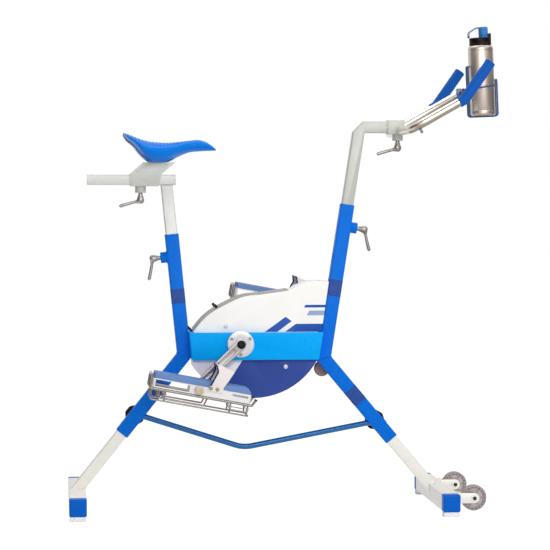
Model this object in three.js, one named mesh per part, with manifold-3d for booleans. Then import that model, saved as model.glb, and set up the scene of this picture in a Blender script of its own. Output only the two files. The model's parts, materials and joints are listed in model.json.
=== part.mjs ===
// Pool exercise bike: an open steel frame on two splayed legs, with an enclosed paddle drive,
// strapped foot trays, a sliding saddle, raised hand grips and a drinks bottle.
// Millimetres, +X forward, +Y to the rider's left, +Z up, origin on the floor under the middle.
import * as THREE from 'three';
import { mergeVertices } from 'three/addons/utils/BufferGeometryUtils.js';
import Module from 'manifold-3d';

const wasm = await Module();
wasm.setup();

const degree = Math.PI / 180;
const gap = 0.3;
const overrun = 6;

// Square tubes and the frame's side plane, with its angles in degrees from straight up
const frameTube = 40;
const frameWall = 2.5;
const slideClearance = 0.5;
const postTube = frameTube - 2 * frameWall - 2 * slideClearance;
const postWall = 2;
const rearCornerX = -296;
const rearCornerHeight = 451;
const rearUprightLength = 358;
const rearUprightAngle = 5.8;
const rearLegAngle = 141.3;
const rearSleeveLength = 293;
const frontCornerX = 117;
const frontCornerHeight = 440;
const frontUprightLength = 459;
const frontUprightAngle = 8.8;
const frontLegAngle = 140;
const frontSleeveLength = 314;
const legInsertLength = 170;

// Beam between the uprights
const beamBottom = 440;
const beamHeight = 80;
const beamTop = beamBottom + beamHeight;
const beamWidth = 134;
const railThickness = 15;
const crossPlateThickness = 12;

// Bent stay bar between the leg sleeves
const stayRadius = 8.5;
const stayBendX = -121;
const stayBendHeight = 177;
const stayBendRadius = 100;
const stayRearDistance = 222;
const stayFrontDistance = 246;

// Foot bars, their end caps and rubber pads
const footTube = 50;
const footWall = 3;
const footBarSpan = 550;
const footCapLength = 36;
const footCapChamfer = 6;
const footPlugLength = 16;
const padHeight = 14;
const padFlare = 3;
const padInset = 2;
const rearBarOffset = -4;
const frontBarOffset = 24;

// Transport wheels
const wheelInset = 112;
const wheelSpacing = footBarSpan - 2 * wheelInset;
const wheelRadius = 37.5;
const wheelWidth = 24;
const wheelRimDepth = 11;
const wheelHubRadius = 12;
const wheelSpokes = 6;
const wheelSpokeWidth = 7;
const wheelAxleRadius = 5;
const wheelReach = 56;
const wheelHeight = 42;
const forkThickness = 4;
const forkHeight = 30;
const forkClearance = 2;
const axleHeadRadius = 9;
const axleHeadLength = 6;
const axleHeadSides = 6;

// Clamp levers, their bosses and studs
const studRadius = 5;
const studClearance = 0.4;
const bossRadius = 16;
const bossLength = 19;
const hubLength = 32;
const hubRadius = 11;
const leverLength = 64;
const leverRadius = 4.3;
const leverTipRadius = 5.2;
const leverInset = 7;
const seatClampDrop = 66;
const handlebarClampDrop = 65;

// Lobed knobs on the leg sleeves
const knobRadius = 29.5;
const knobLobeDepth = 0.6;
const knobLobes = 9;
const knobThickness = 22;
const knobPointsPerLobe = 6;
const knobBossRadius = 14;
const knobBossLength = 9;
const rearKnobDistance = 229;
const frontKnobDistance = 245;
const bumperRadius = 24;
const bumperLength = 16;
const bumperDistance = 24;
const bumperOffset = 22;

// Seat post, seat bar and saddle slider
const seatPostInsert = 190;
const seatBarHeight = 30;
const seatBarBottom = 951;
const seatBarRear = -579;
const seatBarOverhang = 27;
const seatBarWall = 2.5;
const sliderWall = 3;
const sliderLength = 92;
const sliderPlace = 125;
const sliderRear = seatBarRear + sliderPlace;
const sliderSlant = 8;
const bracketRise = 33;
const bracketShift = 40;
const bracketLength = 94;
const saddleBossPlace = 31;
const saddleBossX = sliderRear + saddleBossPlace;

// Saddle
const saddleLength = 273;
const saddleTailReach = 20;
const saddleTailX = sliderRear - saddleTailReach;
const saddleHeight = 86;
const saddleHalfWidth = 95;
const saddleSides = 20;
const saddleTaperShare = 0.3;
const saddleWaistShare = 0.58;
// Each row: place along the saddle, top, bottom and half width
const saddleShares = [
  [0.0, 1.0, 0.93, 0.34],
  [0.044, 0.955, 0.72, 0.68],
  [0.12, 0.86, 0.49, 0.9],
  [0.176, 0.79, 0.24, 0.98],
  [0.271, 0.71, 0.0, 1.0],
  [0.374, 0.675, -0.06, 0.92],
  [0.48, 0.665, 0.0, 0.74],
  [0.615, 0.71, 0.215, 0.5],
  [0.71, 0.745, 0.33, 0.4],
  [0.82, 0.76, 0.37, 0.35],
  [0.916, 0.65, 0.385, 0.3],
  [0.965, 0.54, 0.39, 0.23],
  [1.0, 0.44, 0.4, 0.1],
];

// Handlebar post, slider and tubes
const handlebarPostInsert = 200;
const handlebarHeight = 1122;
const handlebarArmEnd = 330;
const handlebarChamfer = 26;
const barSliderLap = 24;
const barSliderRear = handlebarArmEnd - barSliderLap;
const barSliderLength = 50;
const barBossPlace = 31;
const barBossX = barSliderRear + barBossPlace;
const barTubeRadius = 12.5;
const barTubeSpacing = 500;
const barBendRadius = 45;
const barCrossPlace = 37;
const barCrossX = barSliderRear + barCrossPlace;
const barSlope = 29.5;
const gripReach = 140;
const gripStartX = barCrossX + gripReach;
const gripStraight = 12;
const gripSlope = 55;
const gripLength = 131;
const gripRadius = 15.5;
const gripBendRadius = 30;
const gripClearance = 0.3;
const bottleTubeReach = 170;
const bottleTubeRise = 93;
const bottleTubeEndX = barCrossX + bottleTubeReach;
const bottleTubeEndHeight = handlebarHeight + bottleTubeRise;

// Bottle and its wire cage
const bottleRadius = 37.5;
const bottleWall = 1.5;
const bottleBaseReach = 80;
const bottleBaseDrop = 56;
const bottleBaseX = bottleTubeEndX + bottleBaseReach;
const bottleBaseHeight = bottleTubeEndHeight - bottleBaseDrop;
const bottleAngle = 2.4;
const bottleHeight = 206;
const bottleShoulder = 12;
const bottleMouthRadius = 27;
const bottleNeckRadius = 30;
const bottleEdge = 4;
const collarRadius = 32.5;
const collarHeight = 22;
const collarPlugDepth = 8;
const hingeTabWidth = 12;
const hingeTabRise = 13;
const hingeTabReach = 6;
const spoutWidth = 28;
const spoutHeight = 32;
const spoutOffset = 10;
const loopReach = 42;
const loopThickness = 5;
const loopWidth = 12;
const cageWireRadius = 3;
const cageClearance = 0.5;
const cageRingHeight = 82;
const cageRingAngle = 8;
const cageStrapHeight = 145;
const cageStrapSpacing = 28;
const cageBaseDrop = 3.8;
const cageHookRise = 22;
const cageBendRadius = 8;
const cagePlateHeight = 26;
const cagePlateWidth = 16;
const cagePlateLift = 9;

// Housing and the drive inside it, placed from the crank axle
const crankX = -134;
const crankLift = 47;
const crankHeight = beamBottom + crankLift;
const shellWidth = 100;
const shellWall = 3;
const housingCentreReach = 39;
const housingCentreRise = 55;
const housingCentreX = crankX + housingCentreReach;
const housingCentreHeight = crankHeight + housingCentreRise;
const housingRadius = 215;
const housingRearReach = 188;
const housingFrontReach = 222;
const housingRearX = housingCentreX - housingRearReach;
const housingFrontX = housingCentreX + housingFrontReach;
const housingTopDrop = 22;
const housingTopBase = housingCentreHeight - housingTopDrop;
const housingRise = 150;
const housingTopSteps = 24;
const housingArcSteps = 22;
const housingMargin = 1;
const cavityShare = 0.955;
const housingTopShares = [
  [0.034, 0.053],
  [0.115, 0.307],
  [0.215, 0.493],
  [0.378, 0.7],
  [0.52, 0.753],
  [0.722, 0.833],
  [0.771, 0.9],
  [0.883, 1.0],
  [1.0, 0.987],
];
const shellBoltRadius = 5;
const shellBoltHeight = 1.2;
// Each bolt: its reach and rise from the housing's centre, as shares of the housing's radius
const shellBoltShares = [
  [-0.377, -0.019],
  [0.442, -0.572],
];
const axleRadius = 10;
const axleClearance = 0.4;
const shellHoleClearance = 2;
const paddleRadius = 108;
const paddleHubRadius = 20;
const paddleWidth = 78;
const paddleThickness = 4;
const paddleCount = 8;

// Crank, bearings and pedals
const crankLength = 178;
const crankAngle = 43.2;
const crankThickness = 12;
const crankHubRadius = 15;
const crankEndRadius = 12;
const crankCapRadius = 12.5;
const crankCapHeight = 6;
const bearingRadius = 39;
const bearingThickness = 9;
const bearingSpigotRadius = 16;
const bearingBolts = 5;
const bearingBoltRadius = 3.5;
const bearingBoltHeight = 2.5;
const bearingBoltCircle = 30;
const crankRunningGap = 1.5;
const spindleRadius = 6.5;
const spindleKnobRadius = 13;
const spindleKnobLength = 11;
const pedalSpacing = 320;
const pedalWidth = 110;
const pedalHeel = -135;
const pedalToe = 150;
const pedalAngle = 10.6;
const trayBottom = -14;
const trayTop = 12;
const trayWall = 3;
const traySill = 4;
const trayPost = 8;
const heelWindowLength = 99;
const toeSlotLength = 46;
const toeSlotHeight = 6;
const padThickness = 16;
const pedalPadInset = 2;
const trayNoseDrop = 9;
const railRadius = 4;
const railBend = 6;
const hoopClearance = 2;
const hoopTop = 20;
const toeTurnReach = 10;
const toeTurnRise = 20;
const lowerWireRadius = 2.5;
const lowerWireDrop = 31;
const innerWireRise = 7;
// Places of the upright wires, as shares of the pedal's length from its heel
const innerWireShares = [0.081, 0.544];
const latchShares = [0.807, 0.982];
const clipShare = 0.144;
const wireInset = 4;
const strapThickness = 4.4;
const strapBottom = 2;
const strapHeight = 76;
const strapRearFoot = 22;
const strapFrontFoot = 67;
const strapFrontKnee = 18;
const strapTopRear = 36;
const strapTopFront = 90;
const strapTopDrop = 10;
const strapRearKnee = 42;
const strapRearKneeHeight = 60;
const strapBoltRadius = 4.5;
const strapBoltHeight = 2;
// Places of the strap's bolts, as shares of its foot's width
const strapBoltShares = [0.2, 0.62];
const strapBoltLift = 9;

// Round sections
const fineSides = 32;
const roundSides = 20;
const tubeSides = 12;
const wireSides = 6;
const squareSides = 4;
const bendSteps = 4;

// Solids from three.js geometries

function solid(geometry) {
  const bare = geometry.index ? geometry.toNonIndexed() : geometry.clone();
  bare.deleteAttribute('normal');
  bare.deleteAttribute('uv');
  const merged = mergeVertices(bare);
  const corners = merged.index.array;
  const kept = [];
  for (let i = 0; i < corners.length; i += 3) {
    const [a, b, c] = [corners[i], corners[i + 1], corners[i + 2]];
    if (a !== b && b !== c && c !== a) {
      kept.push(a, b, c);
    }
  }
  return new wasm.Manifold(new wasm.Mesh({
    numProp: 3,
    vertProperties: new Float32Array(merged.attributes.position.array),
    triVerts: new Uint32Array(kept),
  }));
}

function meshOf(name, body, material) {
  const mesh = body.getMesh();
  const geometry = new THREE.BufferGeometry();
  geometry.setAttribute('position', new THREE.BufferAttribute(new Float32Array(mesh.vertProperties), 3));
  geometry.setIndex(new THREE.BufferAttribute(new Uint32Array(mesh.triVerts), 1));
  geometry.computeVertexNormals();
  const result = new THREE.Mesh(geometry, material);
  result.name = name;
  return result;
}

function joined(parts) {
  return parts.reduce((whole, part) => whole.add(part));
}

function cut(body, tools) {
  return tools.reduce((rest, tool) => rest.subtract(tool), body);
}

function rectangle(xLow, xHigh, zLow, zHigh) {
  return [
    [xLow, zLow],
    [xHigh, zLow],
    [xHigh, zHigh],
    [xLow, zHigh],
  ];
}

// A side outline of [x, z] points, thick from one y to the other
function slab(outline, yLow, yHigh) {
  const shape = new THREE.Shape(outline.map(([x, z]) => new THREE.Vector2(x, z)));
  const geometry = new THREE.ExtrudeGeometry(shape, { depth: yHigh - yLow, bevelEnabled: false });
  geometry.rotateX(Math.PI / 2);
  geometry.translate(0, yHigh, 0);
  return solid(geometry);
}

function block(size, centre) {
  const geometry = new THREE.BoxGeometry(size[0], size[1], size[2]);
  geometry.translate(centre[0], centre[1], centre[2]);
  return solid(geometry);
}

function turnTo(geometry, start, direction) {
  const up = new THREE.Vector3(0, 1, 0);
  const turn = new THREE.Quaternion().setFromUnitVectors(up, direction.clone().normalize());
  geometry.applyQuaternion(turn);
  geometry.translate(start.x, start.y, start.z);
  return geometry;
}

function rod(start, end, radius, sides = tubeSides, endRadius = radius) {
  const direction = end.clone().sub(start);
  const length = direction.length();
  const geometry = new THREE.CylinderGeometry(endRadius, radius, length, sides);
  geometry.translate(0, length / 2, 0);
  return solid(turnTo(geometry, start, direction));
}

// A profile of [radius, distance] points turned about an axis
function turned(profile, start, direction, sides = fineSides) {
  const points = profile.map(([radius, distance]) => new THREE.Vector2(radius, distance));
  const geometry = new THREE.LatheGeometry(points, sides);
  return solid(turnTo(geometry, start, direction));
}

function point(x, y, z) {
  return new THREE.Vector3(x, y, z);
}

// A path whose steps fall on chosen stations, so that straight runs take one step each
class StationPath extends THREE.Curve {
  constructor(stations) {
    super();
    this.stations = stations;
  }

  getPoint(share) {
    const last = this.stations.length - 1;
    const place = share * last;
    const index = Math.min(Math.floor(place), last - 1);
    return this.stations[index].clone().lerp(this.stations[index + 1], place - index);
  }

  getPointAt(share) {
    return this.getPoint(share);
  }

  getTangentAt(share) {
    const last = this.stations.length - 1;
    const index = Math.round(share * last);
    const here = this.stations[index];
    const tangent = new THREE.Vector3();
    if (index > 0) {
      tangent.add(here.clone().sub(this.stations[index - 1]).normalize());
    }
    if (index < last) {
      tangent.add(this.stations[index + 1].clone().sub(here).normalize());
    }
    return tangent.normalize();
  }
}

function bentStations(corners, bendRadius) {
  const stations = [corners[0]];
  for (let i = 1; i < corners.length - 1; i += 1) {
    const inward = corners[i].clone().sub(corners[i - 1]).normalize();
    const outward = corners[i + 1].clone().sub(corners[i]).normalize();
    const angle = inward.angleTo(outward);
    const trim = bendRadius * Math.tan(angle / 2);
    const start = corners[i].clone().addScaledVector(inward, -trim);
    const side = outward.clone().addScaledVector(inward, -outward.dot(inward)).normalize();
    const centre = start.clone().addScaledVector(side, bendRadius);
    for (let step = 0; step <= bendSteps; step += 1) {
      const turn = (angle * step) / bendSteps;
      const station = centre.clone().addScaledVector(side, -bendRadius * Math.cos(turn));
      stations.push(station.addScaledVector(inward, bendRadius * Math.sin(turn)));
    }
  }
  stations.push(corners[corners.length - 1]);
  return stations;
}

function circlePoints(radius, sides) {
  const points = [];
  for (let i = 0; i < sides; i += 1) {
    const turn = (2 * Math.PI * i) / sides;
    points.push(new THREE.Vector2(radius * Math.cos(turn), radius * Math.sin(turn)));
  }
  return points;
}

function bentTube(corners, bendRadius, radius, sides = tubeSides) {
  const stations = bentStations(corners, bendRadius);
  const shape = new THREE.Shape(circlePoints(radius, sides));
  return solid(new THREE.ExtrudeGeometry(shape, {
    steps: stations.length - 1,
    bevelEnabled: false,
    extrudePath: new StationPath(stations),
  }));
}

// Struts of the side plane: a start point and a lean from straight up, forward positive

function strut(x, z, lean) {
  return { x, z, along: [Math.sin(lean), Math.cos(lean)], across: [Math.cos(lean), -Math.sin(lean)], lean };
}

function onStrut(bar, distance, offset = 0) {
  return [
    bar.x + distance * bar.along[0] + offset * bar.across[0],
    bar.z + distance * bar.along[1] + offset * bar.across[1],
  ];
}

function faceX(bar, height, offset) {
  return bar.x + (height - bar.z) * Math.tan(bar.lean) + offset / Math.cos(bar.lean);
}

function crossOf(a, b) {
  return a[0] * b[1] - a[1] * b[0];
}

function mitreShift(bar, mate, offset) {
  const bisector = [bar.along[0] + mate.along[0], bar.along[1] + mate.along[1]];
  return (-offset * crossOf(bar.across, bisector)) / crossOf(bar.along, bisector);
}

function strutOutline(bar, start, end, half, mate) {
  const startHigh = mate ? start + mitreShift(bar, mate, half) : start;
  const startLow = mate ? start + mitreShift(bar, mate, -half) : start;
  return [
    onStrut(bar, startHigh, half),
    onStrut(bar, end, half),
    onStrut(bar, end, -half),
    onStrut(bar, startLow, -half),
  ];
}

function squareTube(bar, start, end, size, wall, mate, extras = []) {
  const half = size / 2;
  const outer = joined([slab(strutOutline(bar, start, end, half, mate), -half, half), ...extras]);
  const bore = strutOutline(bar, start - overrun, end + overrun, half - wall, mate);
  return outer.subtract(slab(bore, wall - half, half - wall));
}

const rearUpright = strut(rearCornerX, rearCornerHeight, -rearUprightAngle * degree);
const frontUpright = strut(frontCornerX, frontCornerHeight, frontUprightAngle * degree);
const rearLegLine = strut(rearCornerX, rearCornerHeight, -rearLegAngle * degree);
const frontLegLine = strut(frontCornerX, frontCornerHeight, frontLegAngle * degree);

function spot([x, z], y = 0) {
  return point(x, y, z);
}

// Colours and finishes

function finish(colour, roughness, metalness) {
  return new THREE.MeshStandardMaterial({ color: colour, roughness, metalness });
}

const bluePaint = finish(0x0073f3, 0.35, 0.2);
const beamPaint = finish(0x009bfa, 0.35, 0.2);
const silver = finish(0xdedfd9, 0.45, 0.6);
const stainless = finish(0xb9b4ad, 0.3, 0.9);
const saddleBlue = finish(0x0a7de1, 0.25, 0.0);
const capBlue = finish(0x005ad7, 0.4, 0.0);
const gripBlue = finish(0x0a5fd7, 0.6, 0.0);
const padGrey = finish(0xc9ccd0, 0.8, 0.0);
const shellWhite = finish(0xf3efe8, 0.4, 0.0);
const wheelGrey = finish(0xb3a6a6, 0.5, 0.0);
const knobBlack = finish(0x1c1a1e, 0.5, 0.0);
const trayWhite = finish(0xefefee, 0.5, 0.0);
const cageBlue = finish(0x145a8c, 0.4, 0.4);
const spoutBlue = finish(0x559be6, 0.4, 0.0);

// Clamp bosses and levers

function clampPlace(origin, axis) {
  return { origin, axis: axis.clone().normalize() };
}

function onClamp(place, distance) {
  return place.origin.clone().addScaledVector(place.axis, distance);
}

function clampBoss(place, rootDepth, length = bossLength, radius = bossRadius) {
  return rod(onClamp(place, -rootDepth), onClamp(place, length), radius, roundSides);
}

function clampHole(place, depth, length = bossLength) {
  const radius = studRadius + studClearance;
  return rod(onClamp(place, -depth - overrun), onClamp(place, length + overrun), radius);
}

function clampLever(place, depth, armDirection) {
  const hubStart = onClamp(place, bossLength + gap);
  const hubEnd = onClamp(place, bossLength + gap + hubLength);
  const armRoot = onClamp(place, bossLength + gap + hubLength - leverInset);
  const armTip = armRoot.clone().addScaledVector(armDirection.clone().normalize(), leverLength);
  return joined([
    rod(hubStart, hubEnd, hubRadius, roundSides),
    rod(onClamp(place, -depth), onClamp(place, bossLength + gap + hubRadius), studRadius),
    rod(armRoot, armTip, leverRadius, tubeSides, leverTipRadius),
  ]);
}

const wallDepth = frameWall;
const seatClamp = clampPlace(
  spot(onStrut(rearUpright, rearUprightLength - seatClampDrop, -frameTube / 2)),
  point(-rearUpright.across[0], 0, -rearUpright.across[1]),
);
const handlebarClamp = clampPlace(
  spot(onStrut(frontUpright, frontUprightLength - handlebarClampDrop, frameTube / 2)),
  point(frontUpright.across[0], 0, frontUpright.across[1]),
);
const down = point(0, 0, -1);
const saddleClamp = clampPlace(point(saddleBossX, 0, seatBarBottom - slideClearance - sliderWall), down);
const barSliderBottom = handlebarHeight - postTube / 2 - slideClearance - sliderWall;
const barClamp = clampPlace(point(barBossX, 0, barSliderBottom), down);

// Frame

function knobPlace(bar, distance) {
  return clampPlace(spot(onStrut(bar, distance), frameTube / 2), point(0, 1, 0));
}

const rearKnobPlace = knobPlace(rearLegLine, rearKnobDistance);
const frontKnobPlace = knobPlace(frontLegLine, frontKnobDistance);

function rearUprightSolid() {
  const boss = clampBoss(seatClamp, wallDepth / 2);
  const tube = squareTube(
    rearUpright, gap, rearUprightLength, frameTube, frameWall, rearLegLine, [boss]);
  return tube.subtract(clampHole(seatClamp, wallDepth));
}

function frontUprightSolid() {
  const boss = clampBoss(handlebarClamp, wallDepth / 2);
  const tube = squareTube(
    frontUpright, gap, frontUprightLength, frameTube, frameWall, frontLegLine, [boss]);
  return tube.subtract(clampHole(handlebarClamp, wallDepth));
}

function legSleeveSolid(line, length, mate, place) {
  const boss = clampBoss(place, wallDepth / 2, knobBossLength, knobBossRadius);
  const tube = squareTube(line, gap, length, frameTube, frameWall, mate, [boss]);
  return tube.subtract(clampHole(place, wallDepth, knobBossLength));
}

function betweenUprights(low, high, margin) {
  return [
    [faceX(rearUpright, low, margin), low],
    [faceX(frontUpright, low, -margin), low],
    [faceX(frontUpright, high, -margin), high],
    [faceX(rearUpright, high, margin), high],
  ];
}

function beamSolid() {
  const endMargin = frameTube / 2 + gap;
  const inside = betweenUprights(
    beamBottom - overrun, beamTop + overrun, endMargin + crossPlateThickness);
  const half = beamWidth / 2;
  const axleHole = rod(
    point(crankX, -beamWidth, crankHeight),
    point(crankX, beamWidth, crankHeight),
    bearingSpigotRadius + gap,
    roundSides,
  );
  return cut(slab(betweenUprights(beamBottom, beamTop, endMargin), -half, half), [
    slab(inside, railThickness - half, half - railThickness),
    axleHole,
  ]);
}

function stayBarSolid() {
  const rearEnd = onStrut(rearLegLine, stayRearDistance);
  const frontEnd = onStrut(frontLegLine, stayFrontDistance);
  const bar = bentTube(
    [spot(rearEnd), point(stayBendX, 0, stayBendHeight), spot(frontEnd)],
    stayBendRadius,
    stayRadius,
  );
  const half = frameTube / 2 + gap;
  return cut(bar, [
    slab(strutOutline(rearLegLine, 0, rearSleeveLength + gap, half), -half, half),
    slab(strutOutline(frontLegLine, 0, frontSleeveLength + gap, half), -half, half),
  ]);
}

function knobOutline() {
  const points = [];
  const count = knobLobes * knobPointsPerLobe;
  for (let i = 0; i < count; i += 1) {
    const turn = (2 * Math.PI * i) / count;
    const radius = knobRadius - knobLobeDepth * (1 - Math.cos(knobLobes * turn));
    points.push([radius * Math.cos(turn), radius * Math.sin(turn)]);
  }
  return points;
}

function knobSolid(place) {
  const start = place.origin.y + knobBossLength + gap;
  const { x, z } = place.origin;
  const outline = knobOutline().map(([along, rise]) => [x + along, z + rise]);
  const studEnd = onClamp(place, knobBossLength + knobThickness / 2);
  const stud = rod(onClamp(place, -wallDepth), studEnd, studRadius);
  return slab(outline, start, start + knobThickness).add(stud);
}

function bumperSolid() {
  const centre = spot(onStrut(frontLegLine, bumperDistance, bumperOffset), frameTube / 2 + gap);
  const waist = bumperRadius - bumperLength / 4;
  return turned([
    [0, 0],
    [waist, 0],
    [bumperRadius, bumperLength / 2],
    [waist, bumperLength],
    [0, bumperLength],
  ], centre, point(0, 1, 0), roundSides);
}

// Housing shells, bearings and the drive

function housingOutline() {
  const span = housingFrontX - housingRearX;
  const top = new THREE.SplineCurve(housingTopShares.map(([along, rise]) => new THREE.Vector2(
    housingRearX + span * along,
    housingTopBase + housingRise * rise,
  )));
  const points = top.getPoints(housingTopSteps).map(({ x, y }) => [x, y]);
  const startTurn = Math.asin((beamBottom - housingCentreHeight) / housingRadius);
  const sweep = Math.PI + 2 * startTurn;
  for (let i = 0; i <= housingArcSteps; i += 1) {
    const turn = startTurn - (sweep * i) / housingArcSteps;
    points.push([
      housingCentreX + housingRadius * Math.cos(turn),
      housingCentreHeight + housingRadius * Math.sin(turn),
    ]);
  }
  return points;
}

function shrunk(outline, share) {
  return outline.map(([x, z]) => [
    housingCentreX + (x - housingCentreX) * share,
    housingCentreHeight + (z - housingCentreHeight) * share,
  ]);
}

function shellSolid(side) {
  const inner = side * gap / 2;
  const outer = side * shellWidth / 2;
  const [low, high] = [Math.min(inner, outer), Math.max(inner, outer)];
  const floor = housingCentreHeight - housingRadius - overrun;
  const roof = housingTopBase + housingRise + overrun;
  const tubeMargin = frameTube / 2 + housingMargin;
  const plateMargin = tubeMargin + crossPlateThickness + gap;
  const zone = slab(betweenUprights(floor, roof, tubeMargin), low - overrun, high + overrun);
  const body = slab(housingOutline(), low, high).intersect(zone);
  const beamFill = slab(
    betweenUprights(beamBottom - housingMargin, beamTop + housingMargin, 0),
    low - overrun,
    high + overrun,
  );
  const beamRoom = slab(
    betweenUprights(beamBottom - overrun, beamTop + overrun, plateMargin),
    low - 2 * overrun,
    high + 2 * overrun,
  );
  const cavityZone = slab(betweenUprights(floor, roof, plateMargin + shellWall), -shellWidth, shellWidth);
  const cavityDepth = shellWidth / 2 - shellWall;
  const cavityOutline = shrunk(housingOutline(), cavityShare);
  const cavity = slab(cavityOutline, -cavityDepth, cavityDepth).intersect(cavityZone);
  const axleHole = rod(
    point(crankX, -shellWidth, crankHeight),
    point(crankX, shellWidth, crankHeight),
    axleRadius + shellHoleClearance,
    roundSides,
  );
  const bolts = shellBoltShares.map(([reach, rise]) => {
    const x = housingCentreX + housingRadius * reach;
    const height = housingCentreHeight + housingRadius * rise;
    return rod(
      point(x, side * cavityDepth, height),
      point(x, outer + side * shellBoltHeight, height),
      shellBoltRadius,
    );
  });
  return joined([cut(body, [beamFill.subtract(beamRoom), cavity]), ...bolts]).subtract(axleHole);
}

function driveSolid() {
  const halfAxle = beamWidth / 2 + bearingThickness + bearingBoltHeight + crankRunningGap + crankThickness;
  const parts = [
    rod(point(crankX, -halfAxle, crankHeight), point(crankX, halfAxle, crankHeight), axleRadius, roundSides),
    rod(
      point(crankX, -paddleWidth / 2, crankHeight),
      point(crankX, paddleWidth / 2, crankHeight),
      paddleHubRadius,
      roundSides,
    ),
  ];
  for (let i = 0; i < paddleCount; i += 1) {
    const blade = new THREE.BoxGeometry(paddleRadius - axleRadius, paddleWidth, paddleThickness);
    blade.translate((paddleRadius + axleRadius) / 2, 0, 0);
    blade.rotateY((2 * Math.PI * i) / paddleCount);
    blade.translate(crankX, 0, crankHeight);
    parts.push(solid(blade));
  }
  return joined(parts);
}

function bearingSolid(side) {
  const face = side * (beamWidth / 2 + gap);
  const back = side * (beamWidth / 2 - railThickness + gap);
  const outer = face + side * bearingThickness;
  const axleEnd = point(crankX, outer, crankHeight);
  const parts = [
    rod(point(crankX, face, crankHeight), axleEnd, bearingRadius, fineSides),
    rod(point(crankX, back, crankHeight), axleEnd, bearingSpigotRadius, roundSides),
  ];
  for (let i = 0; i < bearingBolts; i += 1) {
    const turn = (2 * Math.PI * (i + 1 / 2)) / bearingBolts;
    const x = crankX + bearingBoltCircle * Math.sin(turn);
    const z = crankHeight + bearingBoltCircle * Math.cos(turn);
    const boltTop = point(x, outer + side * bearingBoltHeight, z);
    parts.push(rod(point(x, face, z), boltTop, bearingBoltRadius, wireSides));
  }
  const bore = rod(
    point(crankX, back - side * overrun, crankHeight),
    point(crankX, outer + side * overrun, crankHeight),
    axleRadius + axleClearance,
    roundSides,
  );
  return joined(parts).subtract(bore);
}

// Cranks: the near one points down to the rear, the far one up to the front

const crankInner = beamWidth / 2 + gap + bearingThickness + bearingBoltHeight + crankRunningGap;

function pedalCentre(side) {
  const turn = crankAngle * degree;
  return point(
    crankX + side * crankLength * Math.cos(turn),
    side * pedalSpacing / 2,
    crankHeight + side * crankLength * Math.sin(turn),
  );
}

function linkOutline(start, end, startRadius, endRadius) {
  const points = [];
  const heading = Math.atan2(end[1] - start[1], end[0] - start[0]);
  const half = roundSides / 2;
  for (let i = 0; i <= half; i += 1) {
    const turn = heading + Math.PI / 2 + (Math.PI * i) / half;
    points.push([start[0] + startRadius * Math.cos(turn), start[1] + startRadius * Math.sin(turn)]);
  }
  for (let i = 0; i <= half; i += 1) {
    const turn = heading - Math.PI / 2 + (Math.PI * i) / half;
    points.push([end[0] + endRadius * Math.cos(turn), end[1] + endRadius * Math.sin(turn)]);
  }
  return points;
}

function crankSolid(side) {
  const centre = pedalCentre(side);
  const outline = linkOutline([crankX, crankHeight], [centre.x, centre.z], crankHubRadius, crankEndRadius);
  const inner = side * crankInner;
  const outer = side * (crankInner + crankThickness);
  const spindleEnd = side * (pedalSpacing + pedalWidth) / 2 + side * crankRunningGap;
  const knobEnd = spindleEnd + side * spindleKnobLength;
  const axleEnd = point(crankX, outer, crankHeight);
  const arm = slab(outline, Math.min(inner, outer), Math.max(inner, outer));
  const capEnd = point(crankX, outer + side * crankCapHeight, crankHeight);
  const cap = rod(axleEnd, capEnd, crankCapRadius, roundSides);
  const bore = rod(
    point(crankX, inner - side * overrun, crankHeight),
    point(crankX, outer, crankHeight),
    axleRadius + gap,
    roundSides,
  );
  return joined([
    arm.subtract(bore),
    cap,
    rod(point(centre.x, (inner + outer) / 2, centre.z), point(centre.x, knobEnd, centre.z), spindleRadius),
    rod(
      point(centre.x, spindleEnd, centre.z),
      point(centre.x, knobEnd, centre.z),
      spindleKnobRadius,
      roundSides,
    ),
  ]);
}

// Pedals, drawn about their spindle with the heel towards -X

// Openings in the tray's side walls and heel wall, above a low sill
function trayWindows() {
  const side = pedalWidth / 2 + overrun;
  const low = trayBottom + traySill;
  const high = trayTop - trayWall;
  const start = pedalHeel + trayPost;
  const end = pedalToe - trayPost;
  const slotTop = trayTop - 2 * trayWall;
  return [
    slab(rectangle(start, start + heelWindowLength, low, high), -side, side),
    slab(rectangle(pedalHeel - overrun, start, low, high), trayPost - pedalWidth / 2, pedalWidth / 2 - trayPost),
    slab(rectangle(end - toeSlotLength, end, slotTop - toeSlotHeight, slotTop), -side, side),
  ];
}

function traySolid() {
  const half = pedalWidth / 2;
  const padTop = trayTop + padThickness;
  const tray = slab(rectangle(pedalHeel, pedalToe, trayBottom, trayTop), -half, half);
  const pad = slab([
    [pedalHeel + pedalPadInset, trayTop - trayWall],
    [pedalToe - pedalPadInset, trayTop - trayWall],
    [pedalToe - pedalPadInset, padTop - trayNoseDrop],
    [pedalToe - trayNoseDrop, padTop],
    [pedalHeel + pedalPadInset, padTop],
  ], pedalPadInset - half, half - pedalPadInset);
  const hollow = slab(
    rectangle(pedalHeel + trayWall, pedalToe - trayWall, trayBottom - overrun, trayTop - trayWall),
    trayWall - half,
    half - trayWall,
  );
  const boreRadius = spindleRadius + axleClearance;
  const bore = rod(point(0, -pedalWidth, 0), point(0, pedalWidth, 0), boreRadius, tubeSides);
  return cut(tray, [hollow, ...trayWindows()]).add(pad).subtract(bore);
}

const railHeight = trayBottom - railRadius - gap;

function alongPedal(share) {
  return pedalHeel + (pedalToe - pedalHeel) * share;
}

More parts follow.
